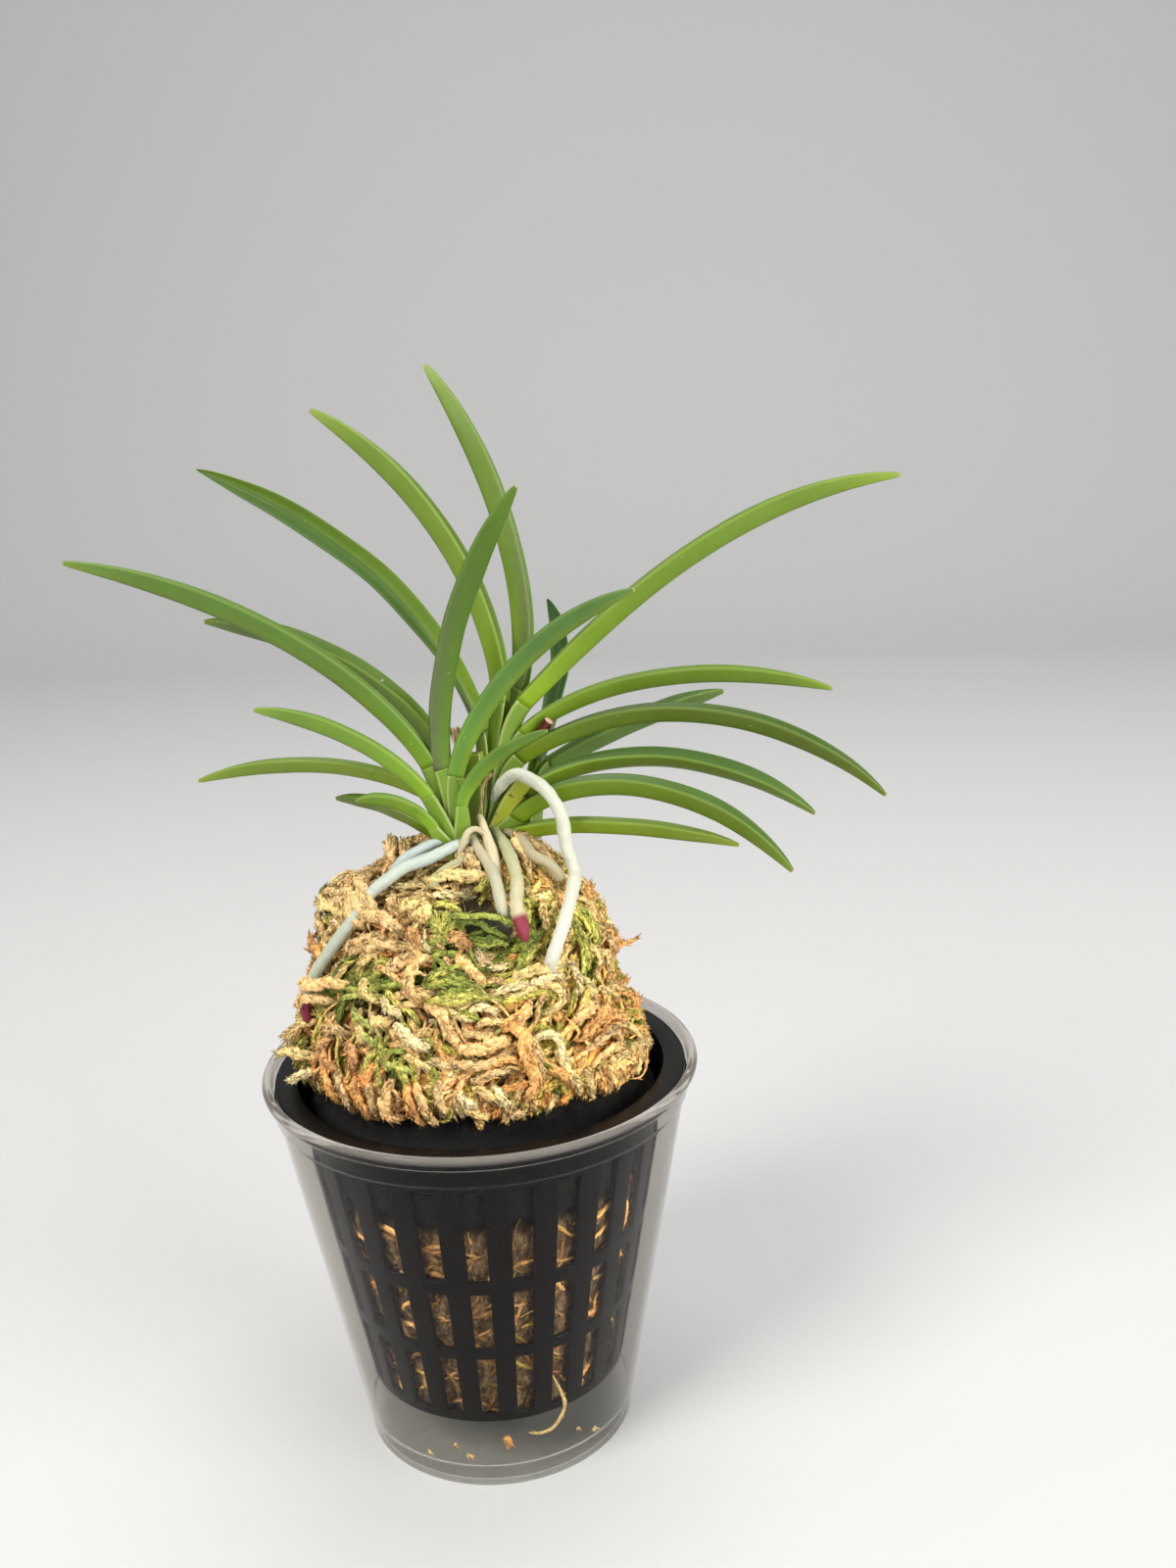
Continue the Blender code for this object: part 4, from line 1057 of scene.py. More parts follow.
    (LIME, 1.5, 1.5, 0.0, (-118.5, 101.5), (-116, 98), (-114.5, 95.3)),
    (CREAM, 1.5, 1.5, 0.0, (-110, 98.6), (-104, 97), (-99, 95.6)),
    (ORANGE, 2.1, 1.9, 0.2, (-141, 92.8), (-137.5, 88.5), (-134.5, 84.6)),
    (TAN, 1.9, 1.8, 0.3, (-134.5, 92.3), (-132, 88), (-130.5, 83.8)),
    (ORANGE, 2.0, 1.9, 0.3, (-127.5, 91.5), (-125.5, 87), (-124.5, 82.8)),
    (TAN, 1.7, 1.7, 0.2, (-121.5, 91), (-121.5, 87), (-120, 83.2)),
    (AMBER, 2.2, 2.2, 0.3, (-113, 93), (-115.5, 89.5), (-116.8, 86), (-112.5, 83.4)),
    (ORANGE, 1.9, 2.0, 0.2, (-108.5, 92.2), (-107, 88), (-104.8, 83)),
    (AMBER, 1.9, 2.0, 0.2, (-105.2, 92.5), (-102.6, 88), (-100.2, 83)),
    (TAN, 1.7, 1.9, 0.2, (-97.8, 93.5), (-96.6, 89.5), (-96.6, 84.5)),
    (LIME, 1.5, 1.6, 0.0, (-109.5, 97), (-109, 94.5), (-108.5, 92)),
    # lower middle
    (AMBER, 2.5, 2.0, 0.0, (-90.5, 99.3), (-81, 99.9), (-72, 100.6)),
    (TAN, 1.6, 1.7, 0.0, (-94, 96.4), (-82, 96.6), (-71, 98.3)),
    (ORANGE, 1.4, 1.8, 0.0, (-90, 94.6), (-82, 96.2), (-73, 96.8), (-64, 94), (-58, 92.3)),
    (TAN, 1.3, 1.7, 0.0, (-87, 92.8), (-80, 94.6), (-72, 94.8)),
    (ORANGE, 2.6, 2.9, 0.2,
     (-76, 102), (-71, 102.8), (-68, 100.6), (-68.7, 97.5), (-66.5, 94), (-66, 90.8), (-69.5, 87)),
    (TAN, 2.0, 2.4, 0.2, (-67.5, 102.5), (-65.5, 98.5), (-63.8, 95.2), (-62.5, 91)),
    (PALE, 1.8, 1.6, 0.0, (-92, 91), (-88, 89), (-86, 86.5)),
    (CREAM, 1.6, 1.5, 0.0, (-86, 91.6), (-81, 90.2), (-78, 88)),
    (PALE, 1.7, 1.6, 0.0, (-80, 91.6), (-76, 89), (-74, 86)),
    (CREAM, 1.6, 1.5, 0.0, (-92, 87.5), (-85, 86), (-80, 84.5)),
    (TAN, 1.6, 1.6, 0.0, (-76, 88), (-73, 85.5), (-68, 84.6)),
    # lower right
    (PALE, 1.6, 2.2, 0.0, (-65, 99), (-60.5, 100.3), (-56.5, 99), (-55.2, 95.5), (-52.5, 92)),
    (CREAM, 2.0, 1.9, 0.2, (-57, 96.6), (-54.5, 93), (-51.5, 89.5), (-49.5, 86)),
    (ORANGE, 1.9, 1.9, 0.2, (-65.5, 96.5), (-59.5, 94), (-55, 91), (-51, 87.2)),
    (CREAM, 1.6, 1.6, 0.2, (-48, 92), (-46, 88), (-44, 85)),
    (ORANGE, 2.4, 2.1, 0.0, (-48, 97), (-40, 99.6), (-32, 100.8), (-24, 100)),
    (AMBER, 2.2, 2.0, 0.0, (-50, 100.2), (-43, 102.4), (-35, 103)),
    (ORANGE, 2.2, 2.0, 0.2, (-38, 97), (-29, 98.8), (-21, 97), (-17, 93)),
    (TAN, 1.8, 1.8, 0.0, (-46, 94), (-37, 96.3), (-29, 95.6), (-24, 92)),
    (AMBER, 1.8, 1.8, 0.0, (-44, 91), (-36, 93), (-29, 92.5), (-25, 89)),
    (CREAM, 1.6, 1.8, 0.2, (-24, 96), (-18, 94.5), (-14.5, 90.5), (-15, 87)),
    (CREAM, 1.5, 1.6, 0.0, (-37, 90), (-30, 91), (-24, 88)),
    # the right side
    (CREAM, 1.5, 1.6, 0.0, (-14, 121.8), (-12, 118.5), (-15, 116)),
    (CREAM, 1.5, 1.7, 0.0, (-20, 120), (-17, 116.6), (-19, 113.8)),
    (LIME, 1.4, 1.6, 0.0, (-26, 118.8), (-22, 115.5), (-24, 112)),
    (TAN, 1.5, 1.6, 0.0, (-15, 114), (-11.5, 110.5), (-14, 107.5)),
    (CREAM, 1.5, 1.6, 0.0, (-24, 111.5), (-19.5, 109), (-21, 105.5)),
    (AMBER, 1.6, 1.8, 0.4, (-12, 107), (-8, 109.5), (-5, 112), (-8, 113.6)),
    (CREAM, 1.4, 1.6, 0.0, (-32, 113.5), (-28, 110.5), (-30, 107)),
    (LIME, 1.3, 1.5, 0.0, (-36, 116), (-34.5, 112), (-36, 109)),
    (CREAM, 1.6, 1.6, 0.0, (-40, 108.5), (-37, 105.5), (-38.5, 102.8)),
    (PALE, 1.5, 1.6, 0.0, (-44, 112), (-43, 108), (-46, 105.5)),
    (CREAM, 1.5, 1.7, 0.0, (-30, 104.5), (-25, 103.6), (-20, 104.6)),
    (AMBER, 1.7, 1.9, 0.6, (-20, 103.8), (-13, 102), (-7, 101)),
    (TAN, 2.3, 3.6, 0.0, (-42, 126.5), (-30, 129.6), (-12, 129.4), (-2, 126)),
    # loose ends that stand off the sides
    (ORANGE, 1.6, 1.5, 3.2, (-14, 118.5), (-8, 120), (-3, 121)),
    (ORANGE, 1.1, 1.6, 6.6, (-18, 109), (-10, 109.2), (-4, 109), (0, 109.2)),
    (ORANGE, 1.8, 1.6, 2.2, (-14, 107.5), (-8, 109), (-4, 111.5)),
    (ORANGE, 1.1, 2.2, 2.6, (-13, 101.2), (-5, 98.8), (-2, 96.4), (-7, 95.2), (-10, 96.4)),
    (ORANGE, 1.4, 1.5, 3.2, (-12, 99), (-7, 100.5), (-2, 101)),
    (CREAM, 1.8, 1.5, 1.8, (-18, 90), (-13, 88.5), (-8, 87.5)),
    (CREAM, 2.0, 1.7, 3.4, (-151, 99.4), (-156, 96.6), (-160, 93.4)),
    (CREAM, 1.9, 1.9, 4.0, (-146, 92.6), (-153, 92.2), (-162, 90.2)),
    (PALE, 1.7, 1.9, 4.0, (-146, 90.6), (-151, 88.6), (-158, 86.8)),
    (AMBER, 2.3, 5.6, 0.0, (-157, 104), (-152, 105.5), (-145, 107), (-138, 108.2), (-132, 108.8)),
    (TAN, 1.9, 5.2, 0.0, (-156, 100.6), (-151, 102.2), (-146, 103.8), (-140, 105.2)))
lines, normals = laid_lines(SINGLE_STRANDS, SINGLE_STATIONS, moss_rng)
width = np.array([row[1] for row in SINGLE_STRANDS])
tone = tone_along(lines, np.array([row[0] for row in SINGLE_STRANDS]), moss_rng, 0.3)
rings, tones = ropes(lines, normals, width, np.full(len(width), 0.72), 0.42, 1.9, tone, 8, moss_rng)
strand_piece(
    "moss_single_strands", rings, tones, scales(lines, normals, width, tone, 44, moss_rng))

# A hem of short upright strands round the foot of the mound, with their lower ends free.
HEM_STRANDS = 190
count = HEM_STRANDS
angle = (np.arange(count) + moss_rng.uniform(-0.5, 0.5, count)) * 2 * np.pi / count
arc = arc_at(moss_rng.uniform(86.0, 88.8, count))
lines, normals = strand_lines(
    arc, angle, -np.pi / 2 + moss_rng.normal(0, 0.38, count), moss_rng.normal(0, 0.8, count),
    moss_rng.uniform(0.1, 0.4, count), moss_rng.uniform(5.5, 9.0, count),
    moss_rng.uniform(-1.7, -0.8, count), moss_rng.uniform(0.2, 0.8, count),
    np.full(count, 0.3), 15, moss_rng)
width = moss_rng.uniform(1.1, 2.2, count)
tone = tone_along(lines, moss_tone(arc, angle, moss_rng) * 1.1, moss_rng)
rings, tones = ropes(
    lines, normals, width, moss_rng.uniform(0.5, 0.8, count), 0.5, 1.8, tone, 6, moss_rng)
strand_piece("moss_hem", rings, tones, scales(lines, normals, width, tone, 26, moss_rng))

# Thin strands that fill the gaps between the ropes.
THREADS = 620
arc, angle = scatter(THREADS, 85.0, MOSS_TOP, moss_rng)
count = len(arc)
lines, normals = strand_lines(
    arc, angle, moss_rng.uniform(-np.pi, np.pi, count), moss_rng.normal(0, 2.0, count),
    moss_rng.uniform(0.1, 0.6, count), moss_rng.uniform(4.0, 11.0, count),
    moss_rng.uniform(-1.8, -0.3, count), moss_rng.uniform(0.2, 1.4, count),
    np.where(moss_rng.uniform(size=count) < 0.06, 2.5, 0.0), 12, moss_rng)
width = moss_rng.uniform(0.4, 0.9, count)
tone = tone_along(lines, moss_tone(arc, angle, moss_rng), moss_rng)
rings, tones = ropes(lines, normals, width, np.ones(count), 0.3, 1.3, tone, 4, moss_rng)
strand_piece("moss_threads", rings, tones, scales(lines, normals, width, tone, 8, moss_rng))

# Strands behind the slots of the pot, darkened and browned as painted shade inside it.  Those
# turned away from the front are lightened as painted light.
POT_STRANDS = 620
POT_FRONT = math.radians(-84.0)
arc, angle = scatter(POT_STRANDS, 15.5, 61.0, moss_rng)
count = len(arc)
lines, normals = strand_lines(
    arc, angle, moss_rng.uniform(-np.pi, np.pi, count), moss_rng.normal(0, 0.9, count),
    moss_rng.uniform(0.1, 0.5, count), moss_rng.uniform(6.0, 15.0, count),
    moss_rng.uniform(-1.0, -0.5, count), moss_rng.uniform(0.0, 0.4, count),
    np.zeros(count), 11, moss_rng)
width = moss_rng.uniform(0.3, 1.5, count)
# Painted shade inside the pot with a random tone, and painted light away from the front.
light = moss_rng.uniform(0.45, 1.6, (count, 1)) * (0.62, 0.51, 0.44)
from_front = abs(turn_between(angle, POT_FRONT)) / MEAN_RADIUS
light = light * (1 + 0.9 * np.clip((from_front - 0.35) / 0.4, 0, 1))[:, None]
tone = tone_along(lines, moss_tone(arc, angle, moss_rng) * light, moss_rng)
rings, tones = ropes(lines, normals, width, np.full(count, 0.6), 0.4, 1.6, tone, 4, moss_rng)
strand_piece("moss_in_pot", rings, tones, scales(lines, normals, width, tone, 3, moss_rng))

# A strand and a few crumbs that have slipped through the slots and lie against the cup.
FALLEN = (  # tone, width, then places as an angle round Z, a distance from Z and a height
    (CREAM, 0.8, (-62.5, 29.9, 25.5), (-59, 29.8, 20.5), (-57.5, 29.2, 16.5), (-62, 28.7, 12.6),
     (-68, 28.4, 11.8), (-73, 28.3, 12.6)),
    (ORANGE, 1.7, (-82.5, 27.9, 12.2), (-80.5, 28.0, 10.0)),
    (PALE, 0.8, (-118, 27.6, 6.6), (-115.5, 27.6, 5.8)),
    (CREAM, 0.9, (-99, 27.9, 7.8), (-96, 27.9, 7.2)),
    (PALE, 0.9, (-42, 27.6, 6.3), (-39, 27.6, 6.2)),
    (TAN, 1.0, (-104, 28.3, 10.5), (-102, 28.3, 9.6)),
    (CREAM, 0.7, (-51, 28.3, 9.8), (-50, 28.3, 9.0)))
share = np.linspace(0.0, 1.0, 16)
lines = []
for _, _, *knots in FALLEN:
    places = smooth_line(np.array(knots, float), 8)[0]
    along = np.linspace(0.0, 1.0, len(places))
    angle, away, height = (np.interp(share, along, row) for row in places.T)
    angle = np.radians(angle)
    lines.append(np.stack([away * np.cos(angle), away * np.sin(angle), height], axis=-1))
lines = np.array(lines)
normals = unit(lines * (1, 1, 0))
width = np.array([row[1] for row in FALLEN])
tone = tone_along(lines, np.array([row[0] for row in FALLEN]) * 0.8, moss_rng, 0.3)
rings, tones = ropes(lines, normals, width, np.full(len(width), 0.6), 0.3, 1.4, tone, 8, moss_rng)
strand_piece("moss_fallen", rings, tones, scales(lines, normals, width, tone, 6, moss_rng))


# ------------------------------------------------------------------ leaves
# Each leaf is a thick keeled strap, folded along its keel, that arches out and ends in a
# blunt point.  It breaks from its base at a clean joint.  The skin is waxy, finely grained
# along its length, paler at the margins and yellower near the joint.
LEAF_THICK = 0.95
FOLDED_HALF = 0.66  # share of its half width that a folded leaf shows
FOLDED_DEPTH = 0.88  # and of its depth
TAPER_FROM = 0.62  # share of the length at which a leaf starts to narrow to its point
LEFT_LEAVES = (
    # name, joint, compass, swing, rise, fall, bend, length, depth, half width, twist
    ("leaf_left_01", (-6.0, -5.0, 146.5), 186, -6, 67, 12.3, 0.6, 81, 3.8, 2.5, 10),
    ("leaf_left_02", (-5.0, -1.0, 148.5), 172, 0, 82, 8, 0.43, 55, 4.0, 3.0, -16),
    ("leaf_left_03", (-6.2, -8.2, 141.3), 190, -10, 57, 10, 0.8, 38, 3.0, 2.1, 14),
    ("leaf_left_04", (-6.0, -1.5, 139.0), 171, 1, 37, -16, 0.6, 51, 2.7, 1.9, 6),
    ("leaf_left_05", (-5.0, -3.0, 131.4), 150, 0, 26, -4, 1.0, 27.5, 2.6, 1.8, 0),
    ("leaf_left_06", (-5.4, -9.6, 135.3), 203, -8, 64, -2, 0.8, 17, 2.2, 1.5, 0),
    ("leaf_left_07", (-2.4, -6.2, 146.4), 330, -7, 109, 51, 0.44, 60, 4.4, 2.4, 0),
    ("leaf_left_08", (-0.3, -6.7, 144.8), 343, -16, 77, 20, 0.7, 57, 3.5, 2.0, 0),
    ("leaf_left_09", (0.9, -8.9, 139.6), 328, -4, 98, 21, 0.3, 28.5, 2.5, 1.6, 0))
MAIN_LEAVES = (
    ("leaf_main_01", (11.0, 4.5, 160.0), 157, -7, 108, 51, 0.7, 67, 4.2, 2.5, 36),
    ("leaf_main_02", (7.5, 1.8, 157.8), 160, -7, 97, 26, 0.7, 73, 4.2, 2.6, 24),
    ("leaf_main_03", (3.7, 1.0, 151.8), 168, 7, 78, 21, 0.7, 78, 2.9, 2.5, -84),
    ("leaf_main_04", (12.6, 1.0, 157.0), 3, 11, 44.1, 1.5, 1.7, 88.3, 3.9, 2.5, -8),
    ("leaf_main_05", (12.4, 1.0, 151.0), 355, 2, 46, -15, 0.6, 63, 3.1, 2.3, -4),
    ("leaf_main_06", (11.4, 0.0, 146.3), 346, 6, 34, -43, 1.0, 77, 3.4, 2.5, 6),
    ("leaf_main_07", (12.0, 1.0, 139.0), 354, 4, 36, -37, 0.8, 61, 3.2, 2.5, 14),
    ("leaf_main_08", (10.5, -1.0, 134.4), 346, 6, 48, -49, 0.7, 61, 3.8, 2.6, 2),
    ("leaf_main_09", (6.5, -0.8, 130.0), 352, -1, 36, -12, 0.33, 48.5, 2.9, 2.0, 0))
BACK_LEAVES = (
    ("leaf_back_01", (14.2, 12.5, 142.6), 47, 74, 59, 48, 0.9, 38, 3.6, 2.2, 0),
    ("leaf_back_02", (16.6, 8.6, 142.5), 23, 0, 21, 8, 1.6, 41, 3.6, 2.2, 0))
LEAF_BASE_TONE = np.array((0.21, 0.35, 0.018))
LEAF_TONE = np.array((0.100, 0.175, 0.016))
LEAF_TIP_TONE = np.array((0.17, 0.25, 0.030))
# Partly painted shade: leaves that stand in shade, such as those at the back, are darker here; the
# yellower ones are their own colour.
LEAF_SHADE_TINT = {  # how much darker or yellower than the rest a leaf is
    "leaf_left_01": (0.79, 0.80, 0.8), "leaf_left_02": (0.80, 0.80, 0.8),
    "leaf_left_03": (0.98, 1.02, 1.1), "leaf_left_04": (1.15, 1.02, 0.8),
    "leaf_left_05": (0.80, 0.75, 0.6), "leaf_left_06": (0.80, 0.85, 0.7),
    "leaf_left_07": (0.53, 0.64, 0.42), "leaf_left_09": (0.95, 0.97, 0.8),
    "leaf_main_02": (1.25, 1.15, 1.2), "leaf_main_03": (0.74, 0.80, 1.1),
    "leaf_main_04": (1.18, 1.14, 0.6), "leaf_main_05": (1.15, 1.1, 0.9),
    "leaf_main_06": (0.69, 0.64, 0.36), "leaf_main_07": (1.10, 1.05, 0.85),
    "leaf_main_08": (1.0, 0.95, 0.7), "leaf_main_09": (1.32, 1.12, 0.8),
    "leaf_back_01": (0.30, 0.42, 0.9), "leaf_back_02": (0.50, 0.60, 0.6)}
# Painted light and shade: the upper side made lighter or darker by how light falls on it.
INNER_SHADING = {  # the same for its upper side alone
    "leaf_main_03": (1.45, 1.30, 0.6), "leaf_main_06": (0.7, 0.75, 0.8),
    "leaf_main_07": (0.60, 0.72, 0.9), "leaf_main_08": (0.60, 0.72, 0.9)}
# Painted shade: one flank made darker and bluer.
FLANK_SHADE = {  # the same for one flank: its sign of u, the u at which it begins, the tint
    "leaf_main_03": (1, -0.05, (0.44, 0.50, 1.7)), "leaf_left_08": (-1, 0.30, (0.62, 0.80, 1.5)),
    "leaf_left_09": (-1, 0.35, (0.70, 0.85, 1.3)), "leaf_left_01": (1, 0.45, (0.86, 0.94, 1.3))}
BLUSH = {"leaf_left_07": -0.85, "leaf_main_01": 0.85}  # its strength, and by its sign the flank
OPENED = {  # share of its half width that a leaf shows which is folded less than the rest
    "leaf_main_03": 1.0, "leaf_main_07": 0.95, "leaf_main_08": 0.8, "leaf_back_02": 0.9,
    "leaf_back_01": 0.9}
TAPERS_SOON = {"leaf_left_09": 0.30}  # where its taper starts, if not at TAPER_FROM
TURNS_SOON = {  # power of the share of its length by which a leaf's twist grows, if not 1
    "leaf_main_01": 0.5, "leaf_main_02": 0.5, "leaf_main_03": 0.5}


def heading_of(compass, rise):
    """Unit vectors of directions given as compass angle and rise above level, in degrees."""
    turn_round, climb = np.radians(compass), np.radians(rise)
    level = np.cos(climb)
    return np.stack(
        [level * np.cos(turn_round), level * np.sin(turn_round), np.sin(climb)], axis=-1)


def section_axes(compass, rise, twist):
    """Across and up vectors square to the heading, turned about it by the twist."""
    turn_round = np.radians(compass)
    across = np.stack([-np.sin(turn_round), np.cos(turn_round), np.zeros_like(turn_round)], axis=-1)
    up = np.cross(heading_of(compass, rise), across)
    spin = np.radians(twist)[..., None]
    return np.cos(spin) * across + np.sin(spin) * up, np.cos(spin) * up - np.sin(spin) * across


def folded_section(half, depth, thick, steps):
    """Rings of a folded strap in (across, up) offsets, one ring for each half width given.

    With u running from one margin to the other and back as the cosine of an angle, the lower
    side is depth * |u| ** 1.3 - depth / 2, with a keel, and the upper side is a rounder copy
    of it raised by the thickness times the root of the angle's sine.  |u| is rounded off near
    0 as the root of u ** 2 + sharp ** 2, less sharp at the fold.
    """
    turn_round = np.arange(steps) * 2 * np.pi / steps
    u = np.cos(turn_round)
    rise = np.sin(turn_round)
    sharp = np.where(rise > 0, 0.20, 0.05)
    fold = (np.sqrt(u**2 + sharp**2) - sharp * (1 - u**2)) ** 1.3
    lifted = np.where(rise > 0, np.abs(rise) ** 0.5, 0.0)
    across = half[:, None] * u
    up = depth[:, None] * (fold - 0.5) + thick[:, None] * lifted
    return across, up, u, np.broadcast_to(rise > 0.02, across.shape)


# A strip of veins runs along each leaf, by places across and along it and its own number.
leaf_finish = Finish(
    "leaf_skin", Specular_IOR_Level=0.36, Subsurface_Weight=0.08, Subsurface_Scale=0.002)
leaf_finish.shader.inputs["Subsurface Radius"].default_value = (0.3, 0.6, 0.1)
tone = leaf_finish.stored("tone", out=0)
across = leaf_finish.stored("across")
along = leaf_finish.stored("along")
upper = leaf_finish.stored("upper")
number = leaf_finish.stored("number")
strip_place = leaf_finish.node(
    "CombineXYZ", inputs={0: across * 11.0, 1: along * 3.0, 2: number * 7.3})
veins = leaf_finish.noise(3.0, 4.0, 0.65, strip_place)
blotch = leaf_finish.noise(160.0, 3.0)
grain = leaf_finish.noise(3200.0, 2.0, 0.6)
margin = leaf_finish.rise(abs(across), 0.94, 0.998)
keel = leaf_finish.rise(abs(across), 0.09, 0.01)
fold = leaf_finish.rise(abs(across), 0.20, 0.02)
green = leaf_finish.shade(tone, 0.72 + 0.34 * veins + 0.28 * blotch)
# Painted shade inside the fold: the upper side is darker, and darkest in the fold itself.
green = leaf_finish.mix(upper * 0.30, green, (0.055, 0.125, 0.028))
green = leaf_finish.mix(keel * (1 - upper) * 0.20, green, (0.30, 0.42, 0.10))
green = leaf_finish.mix(fold * upper * 0.55, green, (0.020, 0.050, 0.014))
green = leaf_finish.mix(margin * 0.10, green, (0.40, 0.50, 0.14))
mottle = leaf_finish.rise(leaf_finish.noise(900.0, 4.0, 0.7), 0.10, 0.70)
green = leaf_finish.mix(leaf_finish.stored("blush") * mottle, green, (0.11, 0.09, 0.08))
dry_tip = leaf_finish.rise(along + 0.005 * blotch, 0.9955, 1.002)
green = leaf_finish.mix(dry_tip, green, (0.36, 0.29, 0.13))
speck = leaf_finish.rise(leaf_finish.noise(900.0, 2.0, 0.5), 0.755, 0.775)
green = leaf_finish.mix(speck * 0.5, green, (0.55, 0.60, 0.42))
leaf_finish.feed("Base Color", green)
leaf_finish.feed("Roughness", 0.34 + 0.16 * blotch + 0.10 * margin)
leaf_finish.bump(0.55 * veins + 0.45 * grain, 0.22, 0.0004)
LEAF_SHARES = np.concatenate([np.linspace(0.0, 0.86, 46), np.linspace(0.86, 1.0, 20)[1:]])
LEAF_AROUND = 28


def leaf_piece(row, index):
    """One leaf blade, which stands for its CAD node.

    At a share s of the length the rise is rise + (fall - rise) * s ** bend, the compass angle
    has turned by s times the swing, and the section by the twist times s to the leaf's power.
    The centre line is the running sum of the headings, swayed a little sideways.  The section
    widens from the joint, and past the start of its taper it narrows as a rounded point.
    """
    name, joint, compass, swing, rise, fall, bend, length, depth, half, twist = row
    half = half * OPENED.get(name, FOLDED_HALF)
    depth = depth * FOLDED_DEPTH
    share = LEAF_SHARES
    middle = 0.5 * (share[1:] + share[:-1])

    def pointing(place):
        return compass + swing * place, rise + (fall - rise) * place**bend

    steps = np.diff(share)[:, None] * length * heading_of(*pointing(middle))
    line = np.array(joint) + np.concatenate([np.zeros((1, 3)), np.cumsum(steps, axis=0)])
    rng = np.random.default_rng(100 + index)
    phases = rng.uniform(0, 2 * np.pi, 4)
    across, up = section_axes(*pointing(share), twist * share ** TURNS_SOON.get(name, 1.0))
    sway = 0.16 * np.sin(9 * share + phases[0]) + 0.10 * np.sin(21 * share + phases[1])
    sway = sway * np.minimum(1, 6 * share) * np.minimum(1, 8 * (1 - share))
    line = line + across * sway[:, None]
    spread = 0.70 + 0.30 * np.clip(share / 0.35, 0, 1) ** 0.8
    deepen = 0.84 + 0.16 * np.clip(share / 0.20, 0, 1)
    taper_from = TAPERS_SOON.get(name, TAPER_FROM)
    point = np.clip((share - taper_from) / (1 - taper_from), 0, 1)
    taper = np.maximum((1 - point**2.0) ** 0.74, 0.02)
    widths = half * spread * taper * (1 + 0.02 * np.sin(13 * share + phases[2]))
    depths = depth * deepen * (0.16 + 0.84 * taper)
    thick = LEAF_THICK * (0.4 + 1.0 * taper)
    a, b, u, is_upper = folded_section(widths, depths, thick, LEAF_AROUND)
    rings = line[:, None] + a[..., None] * across[:, None] + b[..., None] * up[:, None]
    mesh = make_mesh(name + "_blade", with_ends(rings[None]), *tube_faces(1, *a.shape))
    young = np.exp(-share * length / 13.0)[:, None]
    old = np.clip((share - 0.80) / 0.2, 0, 1)[:, None] * 0.7
    tone = LEAF_TONE * (1 - young) + LEAF_BASE_TONE * young
    tone = (tone * (1 - old) + LEAF_TIP_TONE * old) * np.array(LEAF_SHADE_TINT.get(name, (1, 1, 1)))
    tone = tone * rng.uniform(0.93, 1.07)

    def on_rings(values):
        spread_out = np.broadcast_to(values, a.shape + values.shape[-1:])
        return with_ends(spread_out[None].astype(float))

    blush = BLUSH.get(name, 0.0)
    flank = np.clip((np.sign(blush) * u - 0.35) / 0.6, 0, 1)
    blush = abs(blush) * np.clip(1.1 - share * 1.4, 0, 1)[:, None] * flank
    # Painted light and shade on the upper side and on one flank.
    inner_shading = np.where(is_upper[..., None], np.array(INNER_SHADING.get(name, (1, 1, 1))), 1.0)
    side, begins, flank_shade = FLANK_SHADE.get(name, (1, 0.0, (1, 1, 1)))
    on_flank = np.clip((side * u - begins) / 0.3, 0, 1)[:, None]
    tone = tone[:, None, :] * inner_shading * (1 + on_flank * (np.array(flank_shade) - 1))
    keep(mesh, "tone", on_rings(tone))
    keep(mesh, "along", on_rings(share[:, None, None]))
    keep(mesh, "across", on_rings(u[None, :, None]))
    keep(mesh, "upper", on_rings(is_upper[..., None]))
    keep(mesh, "number", on_rings(np.full((1, 1, 1), index)))
    keep(mesh, "blush", on_rings(blush[..., None]))
    piece = show(name + "_blade", mesh, leaf_finish)
    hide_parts(name)
    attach(piece, "root")


for index, row in enumerate(LEFT_LEAVES + MAIN_LEAVES + BACK_LEAVES):
    leaf_piece(row, index)


# ------------------------------------------------------------------ leaf bases
# Below its joint each leaf goes on as a folded sheath that clasps the short stem.  The
# sheaths of one growth nest into each other, the oldest outside, and their thin pale
# margins draw lines down to the foot.
LEFT_FOOT = (-0.3, -6.8, 127.6)
MAIN_FOOT = (4.4, 1.0, 130.0)
BACK_FOOT = (12.0, 10.5, 127.0)
STEM_HALF = 1.5
STEM_DEPTH = 3.1
SHEATH_THICK = 0.85
OLD_BASES = (  # sheaths whose leaves have dropped off, with the columns of the leaf tables
    ("old_base_1", (1.9, 0.4, 145.4), 172, 0, 82, 0, 1.0, 0, 3.9, 2.3, 0),
    ("old_base_2", (2.4, -2.4, 148.4), 172, 0, 88, 0, 1.0, 0, 3.6, 2.2, 0),
    ("old_base_3", (12.6, -2.8, 142.3), 345, 0, 38, 0, 1.0, 0, 3.2, 2.4, 0))
# Yellowing with dark marks; on old_base_2 it is also painted light, lightening a sheath that lies
# in shade.
YELLOWED_AND_LIT = {"old_base_2": 0.4, "old_base_3": 1.0}  # from green to yellow with dark marks
SHEATH_SHARES = np.linspace(0.0, 1.0, 34)

